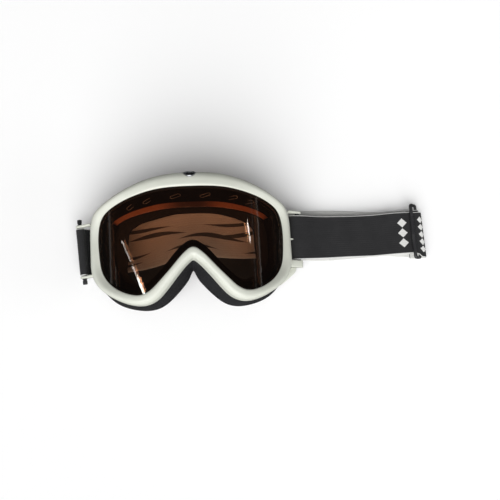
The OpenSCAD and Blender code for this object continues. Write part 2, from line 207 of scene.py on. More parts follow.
def mark(thing: Piece, key: str, values: Sequence[float]) -> None:
    """Gives each point of a mesh its number under a name."""
    thing.data.attributes.new(key, "FLOAT", "POINT").data.foreach_set("value", values)


def markers(name: str, points: Sequence[Sequence[float]], turns: Sequence[Sequence[float]]) -> Piece:
    """Makes loose points that say where copies go, and how each is turned.

    Args:
        name: What they are called.
        points: The points, in millimetres.
        turns: The turn at each point, as three angles.

    Returns:
        The new object.
    """
    mesh = bpy.data.meshes.new(name)
    mesh.from_pydata((np.array(points) * MM).tolist(), [], [])
    mesh.attributes.new("turn", "FLOAT_VECTOR", "POINT").data.foreach_set("vector", np.ravel(turns))
    return linked(name, mesh)


def volume(points: np.ndarray, faces: Sequence[Sequence[int]]) -> float:
    """Returns the volume inside closed faces, negative where they face inwards."""
    fans = [(f[0], f[k], f[k + 1]) for f in faces for k in range(1, len(f) - 1)]
    a, b, c = (points[[fan[k] for fan in fans]] for k in range(3))
    return float((a * np.cross(b, c)).sum() / 6)


def solid(
    name: str,
    points: np.ndarray,
    faces: Sequence[Sequence[int]],
    crease: float = 40,
    uv: np.ndarray | None = None,
) -> Piece:
    """Makes a closed piece whose faces point outwards.

    Args:
        name: The piece's name.
        points: Its points, in millimetres.
        faces: Its faces, as point numbers.
        crease: The angle in degrees above which an edge stays sharp.
        uv: The place of each point on the cloth, in metres.

    Returns:
        The new object, at the origin.
    """
    faces = [list(f) for f in faces]
    if volume(points, faces) < 0:
        faces = [f[::-1] for f in faces]
    mesh = bpy.data.meshes.new(name)
    mesh.from_pydata((points * MM).tolist(), [], faces)
    if uv is not None:
        layer = mesh.uv_layers.new(name="Cloth")
        corner = np.zeros(len(mesh.loops), np.int32)
        mesh.loops.foreach_get("vertex_index", corner)
        layer.data.foreach_set("uv", uv[corner].astype(np.float32).ravel())
    mesh.shade_smooth()
    mesh.set_sharp_from_angle(angle=math.radians(crease))
    return linked(name, mesh)


def lathe(name: str, profile: Sequence[tuple[float, float]], place: Placer, sides: int = 48) -> Piece:
    """Turns a profile round the axis Z.

    Args:
        name: The piece's name.
        profile: Radius and height of each point, from pole to pole, or a closed ring's points.
        place: Puts the points in their place.
        sides: The number of steps round the axis.

    Returns:
        The new object.
    """
    angle = np.linspace(0, 2 * math.pi, sides, endpoint=False)
    turned = [
        np.stack([r * np.cos(angle), r * np.sin(angle), np.full(sides, h)], axis=1)
        for r, h in profile
        if r > 0
    ]
    points = np.concatenate(turned)
    capped = profile[0][0] == 0
    faces = grid_faces(len(turned), sides, not capped).tolist()
    if capped:
        low, high, final = len(points), len(points) + 1, (len(turned) - 1) * sides
        points = np.concatenate([points, [[0, 0, profile[0][1]], [0, 0, profile[-1][1]]]])
        faces += [[low, (k + 1) % sides, k] for k in range(sides)]
        faces += [[high, final + k, final + (k + 1) % sides] for k in range(sides)]
    return solid(name, place(points), faces)


def turned(points: np.ndarray, axis: str, degrees: float) -> np.ndarray:
    """Returns the points turned about an axis through the origin."""
    spin = np.array(Matrix.Rotation(math.radians(degrees), 3, axis))
    return points @ spin.T


def plain(thing: Piece) -> Piece:
    """Turns an object with modifiers into a plain mesh of the same look.

    Args:
        thing: The object.

    Returns:
        The same object, with no modifiers.
    """
    graph = bpy.context.evaluated_depsgraph_get()
    mesh = bpy.data.meshes.new_from_object(thing.evaluated_get(graph), depsgraph=graph)
    thing.modifiers.clear()
    thing.data = mesh
    return thing


def joined(name: str, things: Sequence[Piece]) -> Piece:
    """Joins objects that lie at the origin into one.

    Args:
        name: The name of the result.
        things: The objects, which are used up.

    Returns:
        The joined object.
    """
    with bpy.context.temp_override(
        active_object=things[0], selected_editable_objects=list(things), object=things[0]
    ):
        bpy.ops.object.join()
    things[0].name = name
    return things[0]


class Tree:
    """A Geometry Nodes tree that is being built."""

    def __init__(self, name: str) -> None:
        """Starts a tree with one geometry in and one out."""
        self.group = bpy.data.node_groups.new(name, "GeometryNodeTree")
        self.identifiers: dict[str, str] = {}
        self.values: dict[str, object] = {}
        self.group.interface.new_socket("Geometry", in_out="OUTPUT", socket_type="NodeSocketGeometry")
        self.group.interface.new_socket("Geometry", in_out="INPUT", socket_type="NodeSocketGeometry")
        self.entry = self.group.nodes.new("NodeGroupInput")

    def input(self, name: str, kind: str, value: object) -> Socket:
        """Adds a named input.

        Args:
            name: What the input is called.
            kind: The kind of its socket, such as Float.
            value: What the modifier sets it to.

        Returns:
            The socket inside the tree.
        """
        made = self.group.interface.new_socket(name, in_out="INPUT", socket_type="NodeSocket" + kind)
        self.identifiers[name] = made.identifier
        self.values[name] = value
        return self.entry.outputs[name]

    def node(self, kind: str, links: Links | None = None, **settings: object) -> bpy.types.Node:
        """Adds a node.

        Args:
            kind: The node's type, after GeometryNode unless it names a whole type.
            links: For each input, a socket to link it to or a value.
            settings: The node's own settings.

        Returns:
            The node.
        """
        whole = kind.startswith(("ShaderNode", "FunctionNode", "GeometryNode"))
        made = self.group.nodes.new(kind if whole else "GeometryNode" + kind)
        for key, value in settings.items():
            setattr(made, key, value)
        for key, value in (links or {}).items():
            several = value if isinstance(value, list) else [value]
            for one in several:
                if isinstance(one, Socket):
                    self.group.links.new(one, made.inputs[key])
                else:
                    made.inputs[key].default_value = one
        return made

    def math(self, operation: str, a: object, b: object = 0.0) -> Socket:
        """Returns the result of one sum."""
        return self.node("ShaderNodeMath", {0: a, 1: b}, operation=operation).outputs[0]

    def named(self, name: str, kind: str = "FLOAT") -> Socket:
        """Returns what each point holds under a name."""
        return self.node("InputNamedAttribute", {"Name": name}, data_type=kind).outputs[0]

    def capsule(self, length: Socket, width: Socket, share: float, count: int) -> Socket:
        """Draws an outline with two straight sides and round ends.

        Args:
            length: Its length.
            width: Its width.
            share: The radius of its ends, as a share of the width.
            count: The points on each rounded corner.

        Returns:
            The outline.
        """
        box = self.node("CurvePrimitiveQuadrilateral", {"Width": length, "Height": width}).outputs[0]
        links = {0: box, "Radius": self.math("MULTIPLY", width, share), "Count": count}
        return self.node("FilletCurve", links, mode="POLY").outputs[0]

    def scatter(self, points: Socket, shape: Socket, **more: Socket) -> Socket:
        """Puts a shape on every point, turned as the point says.

        Args:
            points: The points.
            shape: The shape.
            more: More inputs of the node, such as Scale.

        Returns:
            The copies.
        """
        links = {"Points": points, "Instance": shape, "Rotation": self.named("turn", "FLOAT_VECTOR")}
        return self.node("InstanceOnPoints", links | more).outputs[0]

    def finish(self, geometry: Socket, material: Socket) -> None:
        """Ends the tree in Realize Instances and Set Material.

        Args:
            geometry: What the tree has made.
            material: The input that holds its material.
        """
        real = self.node("RealizeInstances", {0: geometry})
        dressed = self.node("SetMaterial", {0: real.outputs[0], "Material": material})
        self.group.links.new(dressed.outputs[0], self.group.nodes.new("NodeGroupOutput").inputs[0])

    def run(self, thing: Piece, crease: float = 40) -> Piece:
        """Runs the tree on an object and keeps the result as its plain mesh.

        Args:
            thing: The object.
            crease: The angle in degrees above which an edge stays sharp.

        Returns:
            The same object.
        """
        modifier = thing.modifiers.new(self.group.name, "NODES")
        modifier.node_group = self.group
        for name, value in self.values.items():
            modifier[self.identifiers[name]] = value
        plain(thing)
        thing.data.shade_smooth()
        thing.data.set_sharp_from_angle(angle=math.radians(crease))
        return thing


class Shader:
    """A material that is being built."""

    def __init__(self, name: str) -> None:
        """Starts a material with an output and nothing else."""
        self.material = bpy.data.materials.new(name)
        self.material.use_nodes = True
        self.nodes = self.material.node_tree.nodes
        self.nodes.clear()
        self.end = self.nodes.new("ShaderNodeOutputMaterial")

    def node(self, kind: str, links: Links | None = None, **settings: object) -> bpy.types.Node:
        """Adds a node.

        Args:
            kind: The node's type, after ShaderNode.
            links: For each input, a socket to link it to or a value.
            settings: The node's own settings.

        Returns:
            The node.
        """
        made = self.nodes.new("ShaderNode" + kind)
        for key, value in settings.items():
            setattr(made, key, value)
        for key, value in (links or {}).items():
            if isinstance(value, Socket):
                self.material.node_tree.links.new(value, made.inputs[key])
            else:
                made.inputs[key].default_value = value
        return made

    def math(self, operation: str, a: object, b: object = 0.0, c: object = 0.0) -> Socket:
        """Returns the result of one sum."""
        return self.node("Math", {0: a, 1: b, 2: c}, operation=operation).outputs[0]

    def place(self) -> Socket:
        """Returns the place on the piece, in metres."""
        return self.node("TexCoord").outputs["Object"]

    def noise(self, place: Socket, scale: float, detail: float = 3) -> Socket:
        """Returns a cloudy pattern of so many clouds a metre."""
        return self.node("TexNoise", {"Vector": place, "Scale": scale, "Detail": detail}).outputs["Fac"]

    def between(self, share: object, low: float, high: float) -> Socket:
        """Returns a number that runs from low to high with the share."""
        ranged = self.node("MapRange", {"Value": share, "To Min": low, "To Max": high})
        return ranged.outputs["Result"]

    def step(self, value: object, edge: float, soft: float) -> Socket:
        """Returns 0 below the edge and 1 above it, softly."""
        links = {"Value": value, "From Min": edge - soft, "From Max": edge + soft}
        return self.node("MapRange", links, interpolation_type="SMOOTHSTEP").outputs["Result"]

    def mix(self, share: object, a: object, b: object) -> Socket:
        """Returns the colour between a and b."""
        made = self.node("Mix", {0: share, 6: a, 7: b}, data_type="RGBA")
        return made.outputs[2]

    def bump(self, height: Socket, strength: float, depth: float) -> Socket:
        """Returns normals that follow a height, of which 1 is the depth in millimetres."""
        links = {"Height": height, "Strength": strength, "Distance": depth * MM}
        return self.node("Bump", links).outputs[0]

    def principled(self, links: dict[str, object]) -> Material:
        """Ends the material in one Principled shader.

        Args:
            links: The shader's inputs.

        Returns:
            The material.
        """
        made = self.node("BsdfPrincipled", links)
        return self.done(made.outputs[0])

    def done(self, shader: Socket) -> Material:
        """Returns the material, with the shader on its surface."""
        self.material.node_tree.links.new(shader, self.end.inputs["Surface"])
        return self.material


@dataclass(frozen=True)
class Moulding:
    """Glossy moulded plastic with faint clouds, flow marks and handling marks, and painted shade on the
    faces that look into the goggles, darkest near the middle.
    """

    name: str = "frame_moulding"
    colour: Colour = (0.66, 0.675, 0.60, 1)
    shade: Colour = (0.60, 0.615, 0.54, 1)
    worn: Colour = (0.50, 0.50, 0.45, 1)
    # The two inside colours are painted shade for the faces that look into the goggles; the darker one is
    # for the middle.
    inside: Colour = (0.30, 0.12, 0.06, 1)
    painted_shade_middle: Colour = (0.05, 0.02, 0.012, 1)
    rough: tuple[float, float] = (0.24, 0.4)

    def material(self) -> Material:
        """Returns the finish as a material."""
        s = Shader(self.name)
        here = s.place()
        clouds = s.noise(here, 45, 4)
        stretched = s.node("Mapping", {"Vector": here, "Scale": (1, 9, 1), "Rotation": (0.3, 0.2, 0.7)})
        scuffs = s.step(s.noise(stretched.outputs[0], 420, 6), 0.66, 0.05)
        base = s.mix(s.step(clouds, 0.5, 0.25), self.colour, self.shade)
        marked = s.mix(s.math("MULTIPLY", scuffs, 0.25), base, self.worn)
        beside = s.math("ABSOLUTE", s.node("SeparateXYZ", {0: here}).outputs[0])
        # Painted shade: the inside faces get darker where X is near the middle.
        inner = s.mix(s.step(beside, 0.018, 0.012), self.painted_shade_middle, self.inside)
        colour = s.mix(s.node("Attribute", attribute_name="inside").outputs["Fac"], marked, inner)
        rough = s.math("ADD", s.between(clouds, *self.rough), s.math("MULTIPLY", scuffs, 0.2))
        peel = s.noise(here, 700, 2)
        return s.principled({
            "Base Color": colour,
            "Roughness": rough,
            "Normal": s.bump(peel, 0.12, 0.05),
            "Coat Weight": 0.15,
            "Coat Roughness": 0.15,
        })


@dataclass(frozen=True)
class Tint:
    """Bent lens sheet that lets tinted light through and mirrors the lamps."""

    name: str
    tint: Colour
    gloss: float = 1.0
    rough: tuple[float, float] = (0.0, 0.03)

    def material(self) -> Material:
        """Returns the finish as a material."""
        s = Shader(self.name)
        smears = s.noise(s.place(), 60, 5)
        through = s.node("BsdfTransparent", {"Color": self.tint})
        white = (self.gloss, self.gloss, self.gloss, 1)
        mirror = s.node("BsdfGlossy", {"Color": white, "Roughness": s.between(smears, *self.rough)})
        facing = s.node("LayerWeight", {"Blend": 0.5}).outputs["Facing"]
        share = s.math("MULTIPLY_ADD", s.math("POWER", facing, 5.0), 0.96, 0.04)
        both = s.node("MixShader", {0: share, 1: through.outputs[0], 2: mirror.outputs[0]})
        return s.done(both.outputs[0])


@dataclass(frozen=True)
class Foam:
    """Cut foam with open or closed cells."""

    name: str
    colour: Colour
    light: Colour
    cells: float
    depth: float
    shine: float = 0.1

    def material(self) -> Material:
        """Returns the finish as a material."""
        s = Shader(self.name)
        here = s.place()
        cell = s.node("TexVoronoi", {"Vector": here, "Scale": self.cells, "Randomness": 1.0})
        wall = cell.outputs["Distance"]
        clouds = s.noise(here, 130, 4)
        lit = s.math("MULTIPLY", s.step(wall, 0.45, 0.25), s.between(clouds, 0.5, 1.0))
        height = s.math("ADD", wall, s.math("MULTIPLY", clouds, 0.8))
        return s.principled({
            "Base Color": s.mix(lit, self.colour, self.light),
            "Roughness": s.between(clouds, 0.82, 0.98),
            "Specular IOR Level": self.shine,
            "Normal": s.bump(height, 0.7, self.depth),
        })


@dataclass(frozen=True)
class Fleece:
    """Short brushed pile."""

    name: str = "fleece"
    colour: Colour = (0.035, 0.035, 0.038, 1)
    tips: Colour = (0.085, 0.085, 0.09, 1)

    def material(self) -> Material:
        """Returns the finish as a material."""
        s = Shader(self.name)
        here = s.place()
        pile = s.noise(here, 2600, 4)
        nap = s.noise(here, 220, 3)
        height = s.math("ADD", pile, s.math("MULTIPLY", nap, 1.5))
        return s.principled({
            "Base Color": s.mix(s.step(pile, 0.55, 0.2), self.colour, self.tips),
            "Roughness": s.between(nap, 0.85, 1.0),
            "Specular IOR Level": 0.2,
            "Sheen Weight": 0.35,
            "Sheen Roughness": 0.5,
            "Normal": s.bump(height, 0.8, 0.3),
        })


@dataclass(frozen=True)
class Plastic:
    """Black moulded plastic, or a pale one, with a fine grain."""

    name: str
    colour: Colour
    worn: Colour
    rough: tuple[float, float]
    coat: float = 0.0

    def material(self) -> Material:
        """Returns the finish as a material."""
        s = Shader(self.name)
        here = s.place()
        grain = s.noise(here, 1800, 3)
        rubbed = s.step(s.noise(here, 160, 5), 0.58, 0.14)
        return s.principled({
            "Base Color": s.mix(rubbed, self.colour, self.worn),
            "Roughness": s.between(grain, *self.rough),
            "Coat Weight": self.coat,
            "Normal": s.bump(grain, 0.25, 0.05),
        })


@dataclass(frozen=True)
class Metal:
    """Satin metal with fine marks of turning."""

    name: str = "bezel_metal"
    colour: Colour = (0.42, 0.43, 0.45, 1)
    dull: Colour = (0.22, 0.225, 0.235, 1)

    def material(self) -> Material:
        """Returns the finish as a material."""
        s = Shader(self.name)
        here = s.place()
        marks = s.noise(s.node("Mapping", {"Vector": here, "Scale": (1, 6, 6)}).outputs[0], 1500, 3)
        spots = s.step(s.noise(here, 500, 4), 0.6, 0.1)
        return s.principled({
            "Base Color": s.mix(spots, self.colour, self.dull),
            "Metallic": 0.7,
            "Roughness": s.between(marks, 0.2, 0.42),
            "Normal": s.bump(marks, 0.15, 0.03),
        })


@dataclass(frozen=True)
class WovenElastic:
    """One face of the elastic webbing: a rib weave, a woven motif along it, and on the dark face a pale
    stripe along both edges that is painted light.

    The motif's edges fade over blur, which is in metres. A row of lozenges is its place along the
    webbing, the half length and the pitch of its lozenges, and how far it reaches from the middle.
    """

    name: str
    ground: Colour
    raised: Colour
    motif: Colour
    waves: bool
    rib: float = 1.0
    pick: float = 0.7
    # Painted light: where the pale edge stripe of the dark face starts, in millimetres from the middle.
    painted_light_edge: float = 19.2
    blur: float = 0.0002
    pale_rows: tuple[tuple[float, ...], ...] = ((304.5, 2.6, 6.4, 16.0), (321.5, 4.4, 9.6, 14.4))

    def material(self) -> Material:
        """Returns the finish as a material."""
        s = Shader(self.name)
        cloth = s.node("SeparateXYZ", {0: s.node("UVMap", uv_map="Cloth").outputs[0]})
        along, across = cloth.outputs[0], cloth.outputs[1]
        ribs = self.threads(s, across, self.rib)
        picks = self.threads(s, along, self.pick)
        slub = s.noise(s.place(), 900, 3)
        weave = s.math("MULTIPLY", ribs, s.between(picks, 0.35, 1.0))
        height = s.math("ADD", weave, s.math("MULTIPLY", slub, 0.4))
        fuzz = s.between(s.noise(s.place(), 90, 4), 0.0, 1.0)
        ground = s.mix(s.math("MULTIPLY", weave, fuzz), self.ground, self.raised)
        drawn = self.wave_lines(s, along, across) if self.waves else self.lozenges(s, along, across)
        # Painted light: the dark face gets a pale stripe along both edges, for the lit pale layer beneath.
        if not self.waves:
            edge = s.step(s.math("ABSOLUTE", across), self.painted_light_edge * MM, self.blur)
            drawn = s.math("MAXIMUM", drawn, s.math("MULTIPLY", edge, s.between(slub, 0.6, 1.0)))
        frayed = s.math("MULTIPLY", drawn, s.between(weave, 0.8, 1.0))
        return s.principled({
            "Base Color": s.mix(frayed, ground, self.motif),
            "Roughness": s.between(slub, 0.7, 0.92),
            "Specular IOR Level": 0.3,
            "Sheen Weight": 0.08,
            "Sheen Roughness": 0.5,
            "Normal": s.bump(height, 0.6, 0.22),
        })

    def threads(self, s: Shader, place: Socket, pitch: float) -> Socket:
        """Returns the rounded backs of threads that lie pitch millimetres apart."""
        turn = s.math("MULTIPLY", place, math.pi / (pitch * MM))
        return s.math("ABSOLUTE", s.math("SINE", turn))

    def wave_lines(self, s: Shader, along: Socket, across: Socket) -> Socket:
        """Draws dark lines that flow along the webbing and swell and thin out.

        Args:
            s: The material.
            along: The place along the webbing, in metres.
            across: The place across it, in metres.

        Returns:
            1 on a line and 0 beside it.
        """
        total: Socket | None = None
        for lift, swing, length, start, thick in (
            (-12.0, 3.2, 0.118, 0.2, 1.9),
            (-5.0, 4.6, 0.150, 1.1, 2.3),
            (3.0, 4.2, 0.128, 2.3, 2.2),
            (11.0, 2.8, 0.140, 3.4, 1.8),
        ):
            turn = s.math("ADD", s.math("MULTIPLY", along, 2 * math.pi / length), start)
            curve = s.math("MULTIPLY_ADD", s.math("SINE", turn), swing * MM, lift * MM)
            away = s.math("ABSOLUTE", s.math("SUBTRACT", across, curve))
            swell = s.math("SINE", s.math("MULTIPLY", turn, 1.7))
            half = s.math("MULTIPLY_ADD", swell, 0.55 * thick * MM, 0.35 * thick * MM)
            line = s.step(s.math("SUBTRACT", half, away), 0.0, self.blur)
            total = line if total is None else s.math("MAXIMUM", total, line)
        return total

    def lozenges(self, s: Shader, along: Socket, across: Socket) -> Socket:
        """Draws rows of pale lozenges across the webbing near the fold.

        Args:
            s: The material.
            along: The place along the webbing, in metres.
            across: The place across it, in metres.

        Returns:
            1 on a lozenge and 0 beside it.
        """
        total: Socket | None = None
        for start, half, pitch, reach in self.pale_rows:
            turn = s.math("PINGPONG", across, pitch / 2 * MM)
            away = s.math("ABSOLUTE", s.math("SUBTRACT", along, start * MM))
            slope = s.math("MULTIPLY_ADD", turn, 2 * half / (0.9 * pitch), away)
            woven = s.step(s.math("SUBTRACT", half * MM, slope), 0.0, self.blur)
            inside = s.step(s.math("SUBTRACT", reach * MM, s.math("ABSOLUTE", across)), 0.0, self.blur)
            woven = s.math("MULTIPLY", woven, inside)
            total = woven if total is None else s.math("MAXIMUM", total, woven)
        return total


@dataclass(frozen=True)
class Thread:
    """Twisted polyester thread."""

    name: str = "thread"
    colour: Colour = (0.05, 0.05, 0.05, 1)
    light: Colour = (0.13, 0.13, 0.13, 1)

    def material(self) -> Material:
        """Returns the finish as a material."""
        s = Shader(self.name)
        here = s.place()
        twist = s.node("TexWave", {"Vector": here, "Scale": 900.0, "Distortion": 2.0}).outputs["Fac"]
        return s.principled({
            "Base Color": s.mix(twist, self.colour, self.light),
            "Roughness": s.between(s.noise(here, 900), 0.5, 0.75),
            "Normal": s.bump(twist, 0.5, 0.08),
        })


@dataclass
class LensEdge:
    """The outline of the lens, the widths round it, and the bends that everything follows.

    Each row is a place on the right half, the direction outwards, the widths of the rim, the
    flange and the foam's spread, how much thicker the foam is there, and how far it reaches
    inwards past the flange. The lens falls by lens_drop from its middle to its sides. The face's
    surface is bent to face_r, and turns level at the temples over temple_soft.
    """

    rows: tuple[tuple[float, ...], ...] = (
        (0, 45, 90, 12.7, 15.5, 2.3, 0, 1),
        (27, 44.3, 74, 11.1, 16, 2.3, 0, 1.5),
        (50, 39.5, 49.4, 9.2, 16.5, 2, 0, 4),
        (66, 33, 33, 8.3, 16.5, 0, 0, 7.5),
        (73.5, 26, 25, 9.4, 15, -3, 0, 10),
        (76.5, 14, 12.5, 7.7, 14, -5, 0, 11),
        (76.3, -2, 0, 7.7, 13, -5, 0, 11),
        (74, -17, -12, 9.6, 12, -4, 0, 9),
        (67, -28, -31, 8.7, 11, -0.2, 2, 5),
        (56, -35.5, -50.7, 7.1, 9, 3.6, 6, 3),
        (44, -38.7, -86, 7.7, 8, 2.4, 9, 2),
        (35, -35.8, -116, 9.1, 7, 6, 11, 1),
        (26.5, -28, -133.5, 8.2, 6, 8.2, 12, 0.5),
        (17, -18.1, -138, 6.7, 6, 9.2, 13, 0),
        (8, -8.3, -113, 7.8, 7, 7.4, 13.5, 0),
        (0, -3.3, -90, 9.2, 7.5, 7, 13.5, 0),
    )
    lens_drop: float = 35.6
    lens_pack: float = 4.4
    seat_t: float = 1.2
    flange_t: float = 2.0
    foam_t: float = 12.5
    groove: float = 1.55
    temple_z: float = 3.7
    temple_gap: float = 0.7
    temple_soft: float = 0.6
    face_z: float = 28.0
    face_r: float = 130.0
    stations: int = 390
    glue: float = 0.1

    def __post_init__(self) -> None:
        """Works out the bend of the lens, and the row at every station."""
        half_w = self.rows[5][0]
        self.lens_r = (half_w**2 + self.lens_drop**2) / (2 * self.lens_drop)
        pack_r = self.lens_r - self.lens_pack - self.glue - self.seat_t
        pack_depth = math.sqrt(self.lens_r**2 - half_w**2)
        pack_depth -= math.sqrt(pack_r**2 - (half_w + self.groove) ** 2)
        self.lens_top_z = (
            self.temple_z + self.foam_t + self.flange_t + self.temple_gap + pack_depth + self.lens_drop
        )
        half = np.array(self.rows, float)
        angle = np.radians(half[:, 2])
        half = np.column_stack([half[:, :2], np.cos(angle), np.sin(angle), half[:, 3:]])
        mirror = half[-2:0:-1] * np.array([-1, 1, -1, 1, 1, 1, 1, 1, 1])
        self.whole = np.concatenate([half, mirror])
        rows = closed_curve(self.whole, np.arange(self.stations) * len(self.whole) / self.stations)
        per_row = self.stations / len(self.whole)
        self.place = evened(rows[:, :2], 0.16 * per_row)
        self.outward = unit(evened(rows[:, 2:4], 0.35 * per_row))
        widths = evened(rows[:, 4:], 0.45 * per_row)
        self.rim, self.flange, self.spread, self.lift, self.inner = widths.T

    def lens_z(self, x: np.ndarray | float, ahead: float = 0) -> np.ndarray | float:
        """Returns the height of the bent surface that lies ahead of the lens' front."""
        return self.lens_top_z - self.lens_r + np.sqrt((self.lens_r + ahead) ** 2 - np.square(x))

    def face_at(self, x: np.ndarray | float) -> np.ndarray | float:
        """Returns the height of the surface that meets the face, with a soft turn at the temples."""
        bent = self.face_z - self.face_r + np.sqrt(self.face_r**2 - np.square(x))
        soft = self.temple_soft
        return self.temple_z + np.logaddexp(0, (bent - self.temple_z) / soft) * soft

    def at(self, spot: Spot) -> np.ndarray:
        """Returns the place of a section's corner at every station."""
        away = spot.rim * self.rim - spot.flange * self.flange + spot.spread * self.spread + spot.shift
        away = away - spot.inner * self.inner
        flat = self.place + self.outward * away[:, None]
        under = (self.place + self.outward * np.minimum(away, self.groove)[:, None])[:, 0]
        if spot.height is Height.EDGE:
            z = self.lens_z(under) + spot.up
        elif spot.height is Height.LENS:
            z = self.lens_z(under, spot.up)
        else:
            z = self.face_at(flat[:, 0]) + spot.up + spot.lift * self.lift
        return np.column_stack([flat, z])

    def sections(self, spots: Sequence[Spot], count: int) -> np.ndarray:
        """Returns a section at every station, each of its corners rounded by count points."""
        corners = np.stack([self.at(s) for s in spots], axis=1)
        return rounded(corners, [s.soft for s in spots], count)

    def ring(self, name: str, spots: Sequence[Spot]) -> Piece:
        """Carries a section round the whole edge.

        Args:
            name: The piece's name.
            spots: The section's corners.

        Returns:
            The new object.
        """
        points = self.sections(spots, 5)
        faces = grid_faces(points.shape[0], points.shape[1], True).tolist()
        return solid(name, points.reshape(-1, 3), faces)

    def strip(self, name: str, spots: Sequence[Spot], first: float, final: float) -> Piece:
        """Carries a section along a part of the edge.

        Args:
            name: The piece's name.
            spots: The section's corners.
            first: The row at which the strip starts, which may lie before the brow's middle.
            final: The row at which it ends.

        Returns:
            The new object.
        """
        per_row = self.stations / len(self.whole)
        stops = np.arange(math.ceil(first * per_row), final * per_row).astype(int)
        points = self.sections(spots, 4)[stops % self.stations]
        n, m = points.shape[:2]
        faces = grid_faces(n, m, False).tolist()
        faces += [list(range(m))[::-1], list(range((n - 1) * m, n * m))]
        return solid(name, points.reshape(-1, 3), faces)

    def station(self, row: float) -> int:
        """Returns the station nearest to a row."""
        return round(row / len(self.whole) * self.stations) % self.stations


@dataclass
class BarPlace:
    """The place of a strap bar: X points outwards from the frame and Y along the bar."""

    side: Side
    x: float
    y: float
    lean: float
    z: float = 16.0

    def put(self, points: np.ndarray) -> np.ndarray:
        """Returns points of the bar's own frame in the row frame."""
        sign = self.side.value
        away = points * np.array([sign, 1, 1])
        return turned(away, "Z", -sign * self.lean) + np.array([sign * self.x, self.y, 0])

    def along(self, points: np.ndarray) -> np.ndarray:
        """Returns points of a shape that was turned about Z, laid along the bar."""
        return self.put(points[:, [0, 2, 1]] + np.array([0, 0, self.z]))


@dataclass
class Goggles:
    """Sizes that the sub-assemblies share."""

    edge: LensEdge = field(default_factory=LensEdge)
    left: BarPlace = field(default_factory=lambda: BarPlace(Side.LEFT, 92.0, 2.5, 3.8))
    right: BarPlace = field(default_factory=lambda: BarPlace(Side.RIGHT, 92.0, 7.3, 1.0))
    lug_gap: float = 41.0
    bar_r: float = 1.9
    bar_clear: float = 0.05
    strap_w: float = 40.0
    strap_t: float = 1.6
    fold_reach: float = 112.0
    fold_lean: float = 3.4
    badge_r: float = 5.2
    badge_tilt: float = 33.0
    badge_out: float = 1.6
    badge_in: float = 4.6
    badge_up: float = 0.3
    rim_drop: float = 5.0

    def fold(self, points: np.ndarray) -> np.ndarray:
        """Returns points of the fold's own frame in the row frame."""
        return self.right.put(turned(points, "Z", self.fold_lean) + np.array([self.fold_reach, 0, 0]))

    def badge(self, points: np.ndarray) -> np.ndarray:
        """Returns points of the badge's own frame in the row frame."""
        row = self.edge.rows[0]
        height = self.edge.lens_top_z - self.rim_drop + self.badge_up
        brow = np.array([0, row[1] + row[3] - self.badge_in, height])
        return turned(points + FRONT * self.badge_out, "X", self.badge_tilt - 90) + brow


